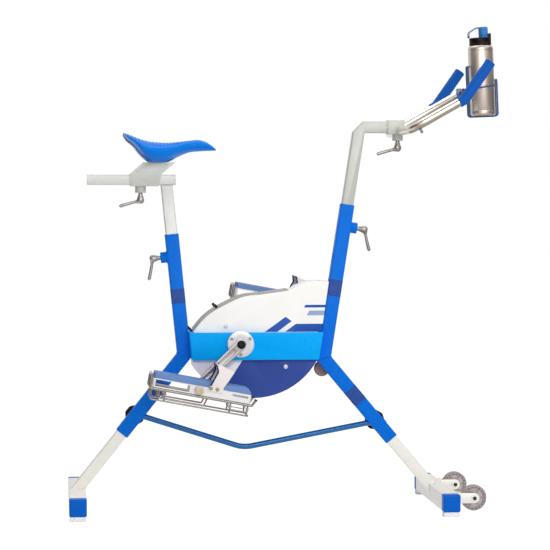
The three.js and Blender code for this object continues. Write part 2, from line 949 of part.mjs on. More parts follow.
function footFrameSolid() {
  const y = pedalWidth / 2 - wireInset;
  const heelX = pedalHeel - railRadius - hoopClearance;
  const toeX = pedalToe + railRadius + hoopClearance;
  const low = railHeight - lowerWireDrop;
  const hoop = bentTube([
    point(toeX + toeTurnReach, -y, railHeight + toeTurnRise),
    point(toeX, -y, railHeight),
    point(heelX, -y, railHeight),
    point(heelX, -y, hoopTop),
    point(heelX, y, hoopTop),
    point(heelX, y, railHeight),
    point(toeX, y, railHeight),
    point(toeX + toeTurnReach, y, railHeight + toeTurnRise),
  ], railBend, railRadius, wireSides);
  const basket = bentTube([
    point(pedalHeel, -y, railHeight),
    point(pedalHeel, -y, low),
    point(pedalToe, -y, low),
    point(pedalToe, y, low),
    point(pedalHeel, y, low),
    point(pedalHeel, y, railHeight),
  ], railBend, lowerWireRadius, wireSides);
  const [innerStart, innerEnd] = innerWireShares.map(alongPedal);
  const parts = [hoop, basket];
  for (const side of [-1, 1]) {
    for (const share of [innerWireShares[0], clipShare, ...latchShares]) {
      const x = alongPedal(share);
      parts.push(rod(point(x, side * y, railHeight), point(x, side * y, low), lowerWireRadius, wireSides));
    }
    parts.push(bentTube([
      point(innerStart, side * y, low + innerWireRise),
      point(innerEnd, side * y, low + innerWireRise),
      point(innerEnd + innerWireRise, side * y, railHeight),
    ], railRadius, lowerWireRadius, wireSides));
  }
  return joined(parts);
}

function strapSolid() {
  const half = pedalWidth / 2 + gap;
  const top = strapBottom + strapHeight;
  const outer = slab([
    [strapRearFoot, strapBottom],
    [strapFrontFoot, strapBottom],
    [strapFrontFoot, strapFrontKnee],
    [strapTopFront, top - strapTopDrop],
    [strapTopRear, top],
    [strapRearKnee, strapRearKneeHeight],
  ], -half - strapThickness, half + strapThickness);
  const fall = strapTopDrop / (strapTopFront - strapTopRear);
  const rear = strapRearFoot - overrun;
  const front = strapTopFront + overrun;
  const ceiling = top - strapThickness;
  const inner = slab([
    [rear, strapBottom - overrun],
    [front, strapBottom - overrun],
    [front, ceiling - fall * (front - strapTopRear)],
    [rear, ceiling - fall * (rear - strapTopRear)],
  ], -half, half);
  const parts = [outer.subtract(inner)];
  for (const side of [-1, 1]) {
    for (const share of strapBoltShares) {
      const x = strapRearFoot + (strapFrontFoot - strapRearFoot) * share;
      const start = side * (half + strapThickness / 2);
      const end = side * (half + strapThickness + strapBoltHeight);
      const head = point(x, end, strapBoltLift);
      parts.push(rod(point(x, start, strapBoltLift), head, strapBoltRadius, wireSides));
    }
  }
  return joined(parts);
}

// Legs, foot bars and transport wheels

const footTop = padHeight + footTube;
const footMiddle = padHeight + footTube / 2;

function footBarX(line, offset) {
  return faceX(line, footTop, 0) + offset;
}

const rearBarX = footBarX(rearLegLine, rearBarOffset);
const frontBarX = footBarX(frontLegLine, frontBarOffset);

function legSolid(line, sleeveLength, barX, footHeight) {
  const end = (line.z - footMiddle) / -line.along[1];
  const half = footTube / 2 + gap;
  const tube = squareTube(line, sleeveLength - legInsertLength, end, postTube, postWall);
  const keep = slab(
    rectangle(barX - footBarSpan, barX + footBarSpan, footHeight, line.z), -postTube, postTube);
  return tube.intersect(keep).subtract(
    block([2 * half, footBarSpan, 2 * half], [barX, 0, footMiddle]));
}

function footBarSolid(barX) {
  const length = footBarSpan - 2 * (footCapLength + gap);
  const inner = footTube - 2 * footWall;
  return block([footTube, length, footTube], [barX, 0, footMiddle]).subtract(
    block([inner, footBarSpan, inner], [barX, 0, footMiddle]));
}

function footCapSolid(barX, side) {
  const half = footTube / 2;
  const end = footBarSpan / 2;
  const start = end - footCapLength;
  const plug = footTube - 2 * (footWall + gap);
  const low = footMiddle - half;
  const high = footMiddle + half;
  const cap = slab(
    rectangle(barX - half, barX + half, low, high),
    Math.min(side * start, side * end),
    Math.max(side * start, side * end),
  );
  const trim = new THREE.CylinderGeometry(
    (half - footCapChamfer) * Math.SQRT2, half * Math.SQRT2, footCapChamfer, squareSides);
  trim.rotateY(Math.PI / 4);
  trim.translate(0, footCapChamfer / 2, 0);
  const chamferStart = point(barX, side * (end - footCapChamfer), footMiddle);
  const cone = solid(turnTo(trim, chamferStart, point(0, side, 0)));
  const nose = block(
    [footTube * 2, footCapChamfer + overrun, footTube * 2],
    [barX, side * (end - footCapChamfer + (footCapChamfer + overrun) / 2), footMiddle],
  );
  const insert = block(
    [plug, footPlugLength + footCapLength / 2, plug],
    [barX, side * (start + (footCapLength / 2 - footPlugLength) / 2), footMiddle],
  );
  return cap.subtract(nose).add(cone).add(insert);
}

function footPadSolid(barX, side) {
  const top = footTube / 2 - padInset;
  const bottom = top + padFlare - padInset;
  const start = footBarSpan / 2 - footCapLength;
  const end = footBarSpan / 2 - padInset;
  return slab([
    [barX - bottom, 0],
    [barX + bottom, 0],
    [barX + top, padHeight - gap],
    [barX - top, padHeight - gap],
  ], Math.min(side * start, side * end), Math.max(side * start, side * end));
}

const wheelX = frontBarX + footTube / 2 + wheelReach;

function forkSolid(side) {
  const y = side * wheelSpacing / 2;
  const inner = wheelWidth / 2 + forkClearance;
  const outer = inner + forkThickness;
  const start = frontBarX + footTube / 2 + gap;
  const half = forkHeight / 2;
  const cheek = linkOutline([start + half, wheelHeight], [wheelX, wheelHeight], half, half);
  const root = [
    [start, wheelHeight - half],
    [start + half, wheelHeight - half],
    [start + half, wheelHeight + half],
    [start, wheelHeight + half],
  ];
  const fork = slab(cheek, y - outer, y + outer).add(slab(root, y - outer, y + outer));
  const low = wheelHeight - forkHeight;
  const high = wheelHeight + forkHeight;
  const room = slab(
    rectangle(start + forkThickness, wheelX + forkHeight, low, high),
    y - inner,
    y + inner,
  );
  const head = outer + axleHeadLength;
  return joined([
    fork.subtract(room),
    rod(point(wheelX, y - outer, wheelHeight), point(wheelX, y + outer, wheelHeight), wheelAxleRadius),
    ...[-1, 1].map((hand) => rod(
      point(wheelX, y + hand * (outer - gap), wheelHeight),
      point(wheelX, y + hand * head, wheelHeight),
      axleHeadRadius,
      axleHeadSides,
    )),
  ]);
}

function wheelSolid(side) {
  const y = side * wheelSpacing / 2;
  const half = wheelWidth / 2;
  const axis = point(0, 1, 0);
  const inner = wheelRadius - wheelRimDepth;
  const edge = half / 4;
  const rim = turned([
    [inner, -half],
    [wheelRadius - edge, -half],
    [wheelRadius, edge - half],
    [wheelRadius, half - edge],
    [wheelRadius - edge, half],
    [inner, half],
    [inner, -half],
  ], point(wheelX, y, wheelHeight), axis);
  const parts = [
    rim,
    rod(
      point(wheelX, y - half, wheelHeight),
      point(wheelX, y + half, wheelHeight),
      wheelHubRadius,
      roundSides,
    ),
  ];
  for (let i = 0; i < wheelSpokes; i += 1) {
    const reach = wheelRadius - wheelRimDepth / 2;
    const spoke = new THREE.BoxGeometry(reach, half, wheelSpokeWidth);
    spoke.translate(reach / 2, 0, 0);
    spoke.rotateY((2 * Math.PI * i) / wheelSpokes);
    spoke.translate(wheelX, y, wheelHeight);
    parts.push(solid(spoke));
  }
  const bore = rod(
    point(wheelX, y - wheelWidth, wheelHeight),
    point(wheelX, y + wheelWidth, wheelHeight),
    wheelAxleRadius + axleClearance,
  );
  return joined(parts).subtract(bore);
}

// Seat post, seat bar, slider and saddle

function seatPostSolid() {
  const half = postTube / 2;
  const start = rearUprightLength - seatPostInsert;
  const reach = (seatBarBottom - rearUpright.z) / rearUpright.along[1];
  const tube = squareTube(rearUpright, start, reach + postTube, postTube, postWall);
  const above = slab(
    rectangle(seatBarRear, 0, seatBarBottom - gap, seatBarBottom + saddleLength),
    -half - overrun,
    half + overrun,
  );
  return tube.subtract(above);
}

const seatBarFront = faceX(rearUpright, seatBarBottom, 0) + seatBarOverhang;
const seatBarTop = seatBarBottom + seatBarHeight;

function seatBarSolid() {
  const half = postTube / 2;
  const outer = rectangle(seatBarRear, seatBarFront, seatBarBottom, seatBarTop);
  const inner = rectangle(
    seatBarRear - overrun,
    seatBarFront - seatBarWall,
    seatBarBottom + seatBarWall,
    seatBarTop - seatBarWall,
  );
  return slab(outer, -half, half).subtract(slab(inner, seatBarWall - half, half - seatBarWall));
}

const bracketTop = seatBarTop + slideClearance + sliderWall + bracketRise;

function saddleSliderSolid() {
  const half = postTube / 2 + slideClearance;
  const low = seatBarBottom - slideClearance;
  const high = seatBarTop + slideClearance;
  const front = sliderRear + sliderLength;
  const sleeve = [
    [sliderRear, low - sliderWall],
    [front - sliderSlant, low - sliderWall],
    [front, high + sliderWall],
    [sliderRear, high + sliderWall],
  ];
  const bracket = [
    [sliderRear, high + sliderWall / 2],
    [front, high + sliderWall / 2],
    [front + bracketShift - (sliderLength - bracketLength), bracketTop],
    [sliderRear + bracketShift, bracketTop],
  ];
  const body = joined([
    slab(sleeve, -half - sliderWall, half + sliderWall),
    slab(bracket, -half - sliderWall, half + sliderWall),
    clampBoss(saddleClamp, sliderWall / 2),
  ]);
  return cut(body, [
    slab(rectangle(sliderRear - overrun, front + overrun, low, high), -half, half),
    clampHole(saddleClamp, sliderWall),
  ]);
}

function lofted(rings) {
  const positions = [];
  const faces = [];
  const sides = rings[0].length;
  for (const ring of rings) {
    for (const corner of ring) {
      positions.push(corner.x, corner.y, corner.z);
    }
  }
  for (let i = 0; i < rings.length - 1; i += 1) {
    for (let j = 0; j < sides; j += 1) {
      const next = (j + 1) % sides;
      const [a, b] = [i * sides + j, i * sides + next];
      const [c, d] = [a + sides, b + sides];
      faces.push(a, b, d, a, d, c);
    }
  }
  for (const end of [0, rings.length - 1]) {
    const middle = positions.length / 3;
    const centre = rings[end].reduce((sum, corner) => sum.add(corner), point(0, 0, 0));
    centre.divideScalar(sides);
    positions.push(centre.x, centre.y, centre.z);
    for (let j = 0; j < sides; j += 1) {
      const [a, b] = [end * sides + j, end * sides + ((j + 1) % sides)];
      faces.push(...(end === 0 ? [middle, b, a] : [middle, a, b]));
    }
  }
  const geometry = new THREE.BufferGeometry();
  geometry.setAttribute('position', new THREE.Float32BufferAttribute(positions, 3));
  geometry.setIndex(faces);
  return solid(geometry);
}

function saddleRing([along, topShare, bottomShare, widthShare]) {
  const base = bracketTop + gap;
  const top = base + saddleHeight * topShare;
  const bottom = base + saddleHeight * bottomShare;
  const waist = bottom + (top - bottom) * saddleWaistShare;
  const ring = [];
  for (let j = 0; j < saddleSides; j += 1) {
    const turn = (2 * Math.PI * j) / saddleSides;
    const rise = Math.sin(turn);
    const drawnIn = rise < 0 ? 1 - saddleTaperShare * rise * rise : 1;
    const y = saddleHalfWidth * widthShare * Math.cos(turn) * drawnIn;
    const z = waist + rise * (rise < 0 ? waist - bottom : top - waist);
    ring.push(point(saddleTailX + saddleLength * along, y, z));
  }
  return ring;
}

function saddleSolid() {
  const base = bracketTop + gap;
  const below = block(
    [2 * saddleLength, 2 * saddleLength, saddleHeight],
    [saddleTailX + saddleLength / 2, 0, base - saddleHeight / 2],
  );
  return lofted(saddleShares.map(saddleRing)).subtract(below);
}

// Handlebar post, slider, tubes and grips

function handlebarPostSolid() {
  const half = postTube / 2;
  const inside = half - postWall;
  const top = handlebarHeight + half;
  const start = frontUprightLength - handlebarPostInsert;
  const reach = (handlebarHeight - frontUpright.z) / frontUpright.along[1];
  const cornerX = faceX(frontUpright, handlebarHeight, 0);
  const armEnd = handlebarArmEnd + overrun;
  const post = slab(strutOutline(frontUpright, start, reach, half), -half, half);
  const arm = slab(rectangle(cornerX - half, handlebarArmEnd, handlebarHeight - half, top), -half, half);
  const postBore = slab(strutOutline(frontUpright, start - overrun, reach, inside), -inside, inside);
  const armBore = slab(
    rectangle(cornerX - inside, armEnd, handlebarHeight - inside, handlebarHeight + inside),
    -inside,
    inside,
  );
  const edge = faceX(frontUpright, top, -half);
  const corner = [
    [edge - postTube, top + overrun],
    [edge - postTube, top - handlebarChamfer - postTube],
    [edge, top - handlebarChamfer],
    [edge + handlebarChamfer, top],
    [edge + handlebarChamfer, top + overrun],
  ];
  const bores = postBore.add(armBore).subtract(slab(
    corner.map(([x, z]) => [x + postWall * Math.SQRT2, z - postWall]), -postTube, postTube));
  return cut(post.add(arm), [slab(corner, -postTube, postTube), bores]);
}

const barSliderHalf = postTube / 2 + slideClearance;

function handlebarSliderSolid() {
  const outer = barSliderHalf + sliderWall;
  const front = barSliderRear + barSliderLength;
  const sleeve = slab(
    rectangle(barSliderRear, front, handlebarHeight - outer, handlebarHeight + outer), -outer, outer);
  const bore = slab(
    rectangle(
      barSliderRear - overrun,
      front + overrun,
      handlebarHeight - barSliderHalf,
      handlebarHeight + barSliderHalf,
    ),
    -barSliderHalf,
    barSliderHalf,
  );
  return cut(sleeve.add(clampBoss(barClamp, sliderWall / 2)), [bore, clampHole(barClamp, sliderWall)]);
}

const barDirection = [Math.cos(barSlope * degree), Math.sin(barSlope * degree)];
const gripDirection = [Math.cos(gripSlope * degree), Math.sin(gripSlope * degree)];
const armRun = (gripStartX - barCrossX) / barDirection[0];
const barCrossHeight = handlebarHeight - barTubeRadius;
const gripStart = [gripStartX, barCrossHeight + armRun * barDirection[1]];

function barArmSolid(side) {
  const inner = side * (barSliderHalf + sliderWall + gap);
  const outer = side * barTubeSpacing / 2;
  const endX = gripStart[0] + gripStraight * barDirection[0];
  const endZ = gripStart[1] + gripStraight * barDirection[1];
  return bentTube([
    point(barCrossX, inner, barCrossHeight),
    point(barCrossX, outer, barCrossHeight),
    point(endX, outer, endZ),
  ], barBendRadius, barTubeRadius);
}

function gripSolid(side) {
  const y = side * barTubeSpacing / 2;
  const elbow = [
    gripStart[0] + gripStraight * barDirection[0],
    gripStart[1] + gripStraight * barDirection[1],
  ];
  const end = [elbow[0] + gripLength * gripDirection[0], elbow[1] + gripLength * gripDirection[1]];
  const start = [gripStart[0] - overrun * barDirection[0], gripStart[1] - overrun * barDirection[1]];
  const body = bentTube([spot(start, y), spot(elbow, y), spot(end, y)], gripBendRadius, gripRadius);
  const boreStart = [start[0] - overrun * barDirection[0], start[1] - overrun * barDirection[1]];
  const boreLength = gripStraight + 2 * overrun + gap;
  const boreEnd = [boreStart[0] + boreLength * barDirection[0], boreStart[1] + boreLength * barDirection[1]];
  return body.subtract(rod(spot(boreStart, y), spot(boreEnd, y), barTubeRadius + gripClearance));
}

function bottleTubeRod(radius, extra) {
  const run = (bottleTubeEndX - barSliderRear - barSliderLength + barTubeRadius) / barDirection[0];
  const axis = point(barDirection[0], 0, barDirection[1]);
  const end = point(bottleTubeEndX, 0, bottleTubeEndHeight).addScaledVector(axis, extra);
  return rod(end.clone().addScaledVector(axis, -run - extra), end, radius);
}

function bottleTubeSolid() {
  const front = barSliderRear + barSliderLength + gap;
  const behind = block(
    [2 * barSliderLength, 4 * barTubeRadius, 2 * handlebarHeight],
    [front - barSliderLength, 0, handlebarHeight],
  );
  return bottleTubeRod(barTubeRadius, 0).subtract(behind);
}

// Bottle and cage

const bottleAxis = point(-Math.sin(bottleAngle * degree), 0, Math.cos(bottleAngle * degree));
const bottleBase = point(bottleBaseX, 0, bottleBaseHeight);

function onBottle(distance, forward = 0, y = 0) {
  return bottleBase.clone()
    .addScaledVector(bottleAxis, distance)
    .addScaledVector(point(bottleAxis.z, 0, -bottleAxis.x), forward)
    .add(point(0, y, 0));
}

function bottleBodySolid() {
  const inner = bottleRadius - bottleWall;
  const neckStart = bottleHeight - bottleShoulder;
  return turned([
    [0, 0],
    [bottleRadius - bottleEdge, 0],
    [bottleRadius, bottleEdge],
    [bottleRadius, neckStart],
    [bottleNeckRadius, bottleHeight],
    [bottleMouthRadius, bottleHeight],
    [inner, neckStart - bottleWall],
    [inner, bottleEdge],
    [0, bottleWall],
  ], bottleBase, bottleAxis);
}

const collarBase = bottleHeight + gap;
const collarTop = collarBase + collarHeight;

function placedOnBottle(outline, halfWidth) {
  const geometry = new THREE.ExtrudeGeometry(
    new THREE.Shape(outline.map(([x, z]) => new THREE.Vector2(x, z))),
    { depth: 2 * halfWidth, bevelEnabled: false },
  );
  geometry.rotateX(Math.PI / 2);
  geometry.translate(0, halfWidth, 0);
  geometry.rotateY(-bottleAngle * degree);
  geometry.translate(bottleBase.x, bottleBase.y, bottleBase.z);
  return solid(geometry);
}

const spoutFront = spoutOffset + spoutWidth / 2;
const tabRear = spoutFront + 2 * cageClearance;

function bottleCollarSolid() {
  const puck = turned([
    [0, -collarPlugDepth],
    [bottleMouthRadius - gap - bottleWall, -collarPlugDepth],
    [bottleMouthRadius - gap - bottleWall, 0],
    [collarRadius, 0],
    [collarRadius, collarHeight],
    [0, collarHeight],
  ], onBottle(collarBase), bottleAxis);
  const tab = placedOnBottle(
    rectangle(tabRear, tabRear + hingeTabReach, collarTop - collarHeight / 2, collarTop + hingeTabRise),
    hingeTabWidth,
  );
  return puck.add(tab);
}

function bottleLidSolid() {
  const base = collarTop + gap;
  const spout = turned([
    [0, base],
    [spoutWidth / 2, base],
    [spoutWidth / 2, base + spoutHeight - bottleEdge],
    [spoutWidth / 2 - bottleEdge, base + spoutHeight],
    [0, base + spoutHeight],
  ], onBottle(0, spoutOffset), bottleAxis, roundSides);
  const top = base + spoutHeight - loopThickness;
  const rear = spoutOffset - loopReach - loopThickness;
  const loop = placedOnBottle([
    [spoutOffset, top],
    [spoutOffset - loopReach / 2, top],
    [rear + loopThickness, top - spoutHeight / 2],
    [rear + loopThickness, base],
    [rear, base],
    [rear, top - spoutHeight / 2 + loopThickness / 2],
    [spoutOffset - loopReach / 2 - loopThickness, top + loopThickness],
    [spoutOffset, top + loopThickness],
  ], loopWidth / 2);
  return spout.add(loop);
}

function bottleCageSolid() {
  const reach = bottleRadius + cageClearance + cageWireRadius;
  const half = cageStrapSpacing / 2;
  const low = -cageBaseDrop;
  const strapReach = reach + cageWireRadius / 2;
  const hookHeight = cageRingHeight + cageHookRise;
  const wire = bentTube([
    onBottle(cageStrapHeight, -strapReach, -half),
    onBottle(low, -strapReach, -half),
    onBottle(low, strapReach, -half),
    onBottle(hookHeight, strapReach, -half),
    onBottle(hookHeight, strapReach, half),
    onBottle(low, strapReach, half),
    onBottle(low, -strapReach, half),
    onBottle(cageStrapHeight, -strapReach, half),
  ], cageBendRadius, cageWireRadius, wireSides);
  const topBar = rod(
    onBottle(cageStrapHeight - cageWireRadius, -strapReach, -half),
    onBottle(cageStrapHeight - cageWireRadius, -strapReach, half),
    cageWireRadius / 2 + gap,
    wireSides,
  );
  const tilt = Math.tan(cageRingAngle * degree);
  const ring = [];
  for (let i = 0; i < fineSides; i += 1) {
    const turn = (2 * Math.PI * i) / fineSides;
    const forward = reach * Math.cos(turn);
    ring.push(onBottle(cageRingHeight + forward * tilt, forward, reach * Math.sin(turn)));
  }
  const plateRear = bottleTubeEndX + gap;
  const plateFront = onBottle(cageRingHeight, -reach).x;
  const plate = block(
    [plateFront - plateRear, cagePlateWidth, cagePlateHeight],
    [(plateFront + plateRear) / 2, 0, bottleTubeEndHeight + cagePlateLift],
  );
  const tubeRoom = bottleTubeRod(barTubeRadius + gap, gap);
  return joined([wire, topBar, bentLoop(ring, cageWireRadius), plate]).subtract(tubeRoom);
}

function bentLoop(stations, radius) {
  const rings = stations.map((station, index) => {
    const before = stations[(index + stations.length - 1) % stations.length];
    const after = stations[(index + 1) % stations.length];
    const tangent = after.clone().sub(before).normalize();
    const side = new THREE.Vector3().crossVectors(tangent, bottleAxis).normalize();
    const lift = new THREE.Vector3().crossVectors(side, tangent).normalize();
    return circlePoints(radius, wireSides).map((corner) => station.clone()
      .addScaledVector(side, corner.x)
      .addScaledVector(lift, corner.y));
  });
  const positions = rings.flat().flatMap((corner) => [corner.x, corner.y, corner.z]);
  const faces = [];
  for (let i = 0; i < rings.length; i += 1) {
    const nextRing = (i + 1) % rings.length;
    for (let j = 0; j < wireSides; j += 1) {
      const next = (j + 1) % wireSides;
      const [a, b] = [i * wireSides + j, i * wireSides + next];
      const [c, d] = [nextRing * wireSides + j, nextRing * wireSides + next];
      faces.push(a, d, b, a, c, d);
    }
  }
  const geometry = new THREE.BufferGeometry();
  geometry.setAttribute('position', new THREE.Float32BufferAttribute(positions, 3));
  geometry.setIndex(faces);
  return solid(geometry);
}

// The whole machine

const machine = new THREE.Group();

function place(name, body, material) {
  machine.add(meshOf(name, body, material));
}

place('rear_upright', rearUprightSolid(), bluePaint);
place('front_upright', frontUprightSolid(), bluePaint);
const rearSleeve = legSleeveSolid(rearLegLine, rearSleeveLength, rearUpright, rearKnobPlace);
const frontSleeve = legSleeveSolid(frontLegLine, frontSleeveLength, frontUpright, frontKnobPlace);
place('rear_leg_sleeve', rearSleeve, bluePaint);
place('front_leg_sleeve', frontSleeve, bluePaint);
place('beam', beamSolid(), beamPaint);
place('stay_bar', stayBarSolid(), bluePaint);
place('corner_bumper', bumperSolid(), knobBlack);

const seatArm = point(rearUpright.along[0], 0, -rearUpright.along[1]);
const handlebarArm = point(frontUpright.along[0], 0, -frontUpright.along[1]);
const rearwards = point(-1, 0, -(leverRadius / hubRadius) / 2);
place('seat_post_lever', clampLever(seatClamp, wallDepth, seatArm), silver);
place('handlebar_post_lever', clampLever(handlebarClamp, wallDepth, handlebarArm), silver);
place('saddle_lever', clampLever(saddleClamp, sliderWall, rearwards), silver);
place('handlebar_lever', clampLever(barClamp, sliderWall, rearwards), silver);
place('rear_leg_knob', knobSolid(rearKnobPlace), knobBlack);
place('front_leg_knob', knobSolid(frontKnobPlace), knobBlack);

place('rear_leg', legSolid(rearLegLine, rearSleeveLength, rearBarX, footTop + gap), silver);
place('front_leg', legSolid(frontLegLine, frontSleeveLength, frontBarX, footMiddle), silver);
place('rear_foot_bar', footBarSolid(rearBarX), silver);
place('front_foot_bar', footBarSolid(frontBarX), silver);

place('seat_post', seatPostSolid(), silver);
place('seat_bar', seatBarSolid(), silver);
place('saddle_slider', saddleSliderSolid(), silver);
place('saddle', saddleSolid(), saddleBlue);
place('handlebar_post', handlebarPostSolid(), silver);
place('handlebar_slider', handlebarSliderSolid(), silver);
place('bottle_tube', bottleTubeSolid(), stainless);
place('bottle_cage', bottleCageSolid(), cageBlue);
place('bottle_body', bottleBodySolid(), stainless);
place('bottle_collar', bottleCollarSolid(), knobBlack);
place('bottle_lid', bottleLidSolid(), spoutBlue);
place('drive_axle', driveSolid(), silver);

for (const [label, side] of [['near', -1], ['far', 1]]) {
  place(`${label}_shell`, shellSolid(side), shellWhite);
  place(`${label}_bearing`, bearingSolid(side), stainless);
  place(`${label}_crank`, crankSolid(side), stainless);
  place(`${label}_bar_arm`, barArmSolid(side), stainless);
  place(`${label}_grip`, gripSolid(side), gripBlue);
  place(`${label}_wheel_fork`, forkSolid(side), silver);
  place(`${label}_wheel`, wheelSolid(side), wheelGrey);
  place(`rear_${label}_foot_cap`, footCapSolid(rearBarX, side), capBlue);
  place(`front_${label}_foot_cap`, footCapSolid(frontBarX, side), capBlue);
  place(`rear_${label}_foot_pad`, footPadSolid(rearBarX, side), padGrey);
  place(`front_${label}_foot_pad`, footPadSolid(frontBarX, side), padGrey);

  const pedal = new THREE.Group();
  pedal.position.copy(pedalCentre(side));
  pedal.rotation.y = pedalAngle * degree;
  pedal.add(meshOf(`${label}_pedal_tray`, traySolid(), trayWhite));
  pedal.add(meshOf(`${label}_pedal_frame`, footFrameSolid(), silver));
  pedal.add(meshOf(`${label}_pedal_strap`, strapSolid(), trayWhite));
  machine.add(pedal);
}

machine.updateMatrixWorld(true);
const bounds = new THREE.Box3().setFromObject(machine, true);
machine.position.x = -(bounds.min.x + bounds.max.x) / 2;

export default machine;
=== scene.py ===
import json
import math

import bmesh
import bpy
import numpy as np
from mathutils import Matrix, Vector


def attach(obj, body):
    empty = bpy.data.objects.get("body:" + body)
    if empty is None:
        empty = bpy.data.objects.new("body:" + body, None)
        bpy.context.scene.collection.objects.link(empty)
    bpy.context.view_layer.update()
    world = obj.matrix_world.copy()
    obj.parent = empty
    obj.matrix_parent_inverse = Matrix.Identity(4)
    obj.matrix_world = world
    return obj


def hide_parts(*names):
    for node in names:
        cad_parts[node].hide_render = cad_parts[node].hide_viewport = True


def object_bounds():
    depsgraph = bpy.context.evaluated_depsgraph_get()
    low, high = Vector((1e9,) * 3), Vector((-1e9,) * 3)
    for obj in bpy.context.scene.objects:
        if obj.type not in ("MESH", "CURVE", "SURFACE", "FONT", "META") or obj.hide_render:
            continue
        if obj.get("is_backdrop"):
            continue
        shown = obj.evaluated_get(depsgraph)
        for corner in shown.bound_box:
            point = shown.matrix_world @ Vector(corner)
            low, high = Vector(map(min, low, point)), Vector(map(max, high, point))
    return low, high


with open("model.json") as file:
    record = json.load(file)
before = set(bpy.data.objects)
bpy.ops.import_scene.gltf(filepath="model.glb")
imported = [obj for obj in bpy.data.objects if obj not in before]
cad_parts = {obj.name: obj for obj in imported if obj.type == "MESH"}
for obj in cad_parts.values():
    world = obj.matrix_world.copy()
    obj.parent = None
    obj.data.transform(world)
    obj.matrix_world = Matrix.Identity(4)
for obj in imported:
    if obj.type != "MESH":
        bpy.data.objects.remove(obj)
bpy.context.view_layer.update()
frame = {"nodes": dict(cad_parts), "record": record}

# Shapes are drawn in millimetres about the drawing's own origin. They become meshes in metres about the
# part's origin, which is under its middle and centre_shift further on in x.
metre = 0.001
degree = math.pi / 180
centre_shift = 1.4177
gap = 0.3
merge_distance = 2e-6
point_radius = 1e-5
sharp_angle = 38
fine_sides, tube_sides, wire_sides = 48, 32, 14
both_sides = (("near", -1), ("far", 1))

body_of = {}
for body_name, members in frame["record"]["behaviour"]["bodies"].items():
    for member in members:
        body_of[member] = body_name


# ---- shapes

def vec(x, y, z):
    return np.array([x, y, z], float)


def unit(v):
    return np.asarray(v, float) / np.linalg.norm(v)


sideways = vec(0, 1, 0)


def round_turns(count):
    """Angles in even steps round a circle."""
    return [2 * math.pi * k / count for k in range(count)]


def merged(*shapes):
    """One shape from several closed ones."""
    verts, faces = [], []
    for shape_verts, shape_faces in shapes:
        start = len(verts)
        verts.extend([tuple(v) for v in shape_verts])
        faces.extend([tuple(i + start for i in face) for face in shape_faces])
    return verts, faces


def lofted(rings, closed=False):
    """A skin over rings of equal count, with flat ends unless it closes on itself."""
    verts = [tuple(p) for ring in rings for p in ring]
    sides = len(rings[0])
    count = len(rings)
    faces = []
    for i in range(count if closed else count - 1):
        k = (i + 1) % count
        for j in range(sides):
            n = (j + 1) % sides
            faces.append((i * sides + j, i * sides + n, k * sides + n, k * sides + j))
    if not closed:
        faces.append(tuple(reversed(range(sides))))
        faces.append(tuple((count - 1) * sides + j for j in range(sides)))
    return verts, faces


def frames_along(path, closed=False):
    """Two directions across the path at each of its points, without twist."""
    path = [np.asarray(p, float) for p in path]
    count = len(path)
    tangents = []
    for i in range(count):
        if closed:
            before, after = path[i - 1], path[(i + 1) % count]
        else:
            before, after = path[max(i - 1, 0)], path[min(i + 1, count - 1)]
        into = unit(path[i] - before) if np.linalg.norm(path[i] - before) > 1e-9 else None
        out = unit(after - path[i]) if np.linalg.norm(after - path[i]) > 1e-9 else None
        if into is None:
            tangents.append(out)
        elif out is None:
            tangents.append(into)
        else:
            tangents.append(unit(into + out))
    start = sideways if abs(tangents[0][1]) < 0.9 else vec(1, 0, 0)
    across = unit(start - tangents[0] * start.dot(tangents[0]))
    result = []
    for tangent in tangents:
        across = unit(across - tangent * across.dot(tangent))
        result.append((across, np.cross(tangent, across)))
    return result


def sweep(path, radius, sides=tube_sides, closed=False, section=None):
    """A tube along a path. The radius is one number, or one for each point."""
    radii = [radius] * len(path) if np.isscalar(radius) else radius
    if section is None:
        section = [(math.cos(t), math.sin(t)) for t in round_turns(sides)]
    rings = []
    for p, r, (a, b) in zip(path, radii, frames_along(path, closed)):
        rings.append([np.asarray(p, float) + a * (u * r) + b * (v * r) for u, v in section])
    return lofted(rings, closed)


def weld_bead(path, radius, swing, pace, sides=8, closed=True):
    """A weld bead along a path, a little thicker and thinner in turns."""
    return sweep(path, [radius + swing * math.sin(k * pace) for k in range(len(path))], sides, closed)


def bent(corners, radius, steps=12):
    """A path through corners, rounded at each of them."""
    corners = [np.asarray(c, float) for c in corners]
    path = [corners[0]]
    for i in range(1, len(corners) - 1):
        into = unit(corners[i] - corners[i - 1])
        out = unit(corners[i + 1] - corners[i])
        angle = math.acos(float(np.clip(into.dot(out), -1, 1)))
        trim = radius * math.tan(angle / 2)
        start = corners[i] - into * trim
        side = unit(out - into * out.dot(into))
        centre = start + side * radius
        for k in range(steps + 1):
            turn = angle * k / steps
            path.append(centre - side * radius * math.cos(turn) + into * radius * math.sin(turn))
    path.append(corners[-1])
    return path


def turned(profile, start, direction, sides=fine_sides):
    """A profile of (radius, distance) turned about an axis."""
    d = unit(direction)
    helper = sideways if abs(d[1]) < 0.9 else vec(1, 0, 0)
    a = unit(np.cross(helper, d))
    b = np.cross(d, a)
    start = np.asarray(start, float)
    return lofted([[start + d * h + (a * math.cos(t) + b * math.sin(t)) * max(r, point_radius)
                    for t in round_turns(sides)] for r, h in profile])


def prism(outline, y_low, y_high):
    """A side outline of (x, z) points, thick from one y to the other."""
    return lofted([[vec(x, y_low, z) for x, z in outline], [vec(x, y_high, z) for x, z in outline]])


def box(x0, x1, y0, y1, z0, z1):
    return prism([(x0, z0), (x1, z0), (x1, z1), (x0, z1)], y0, y1)


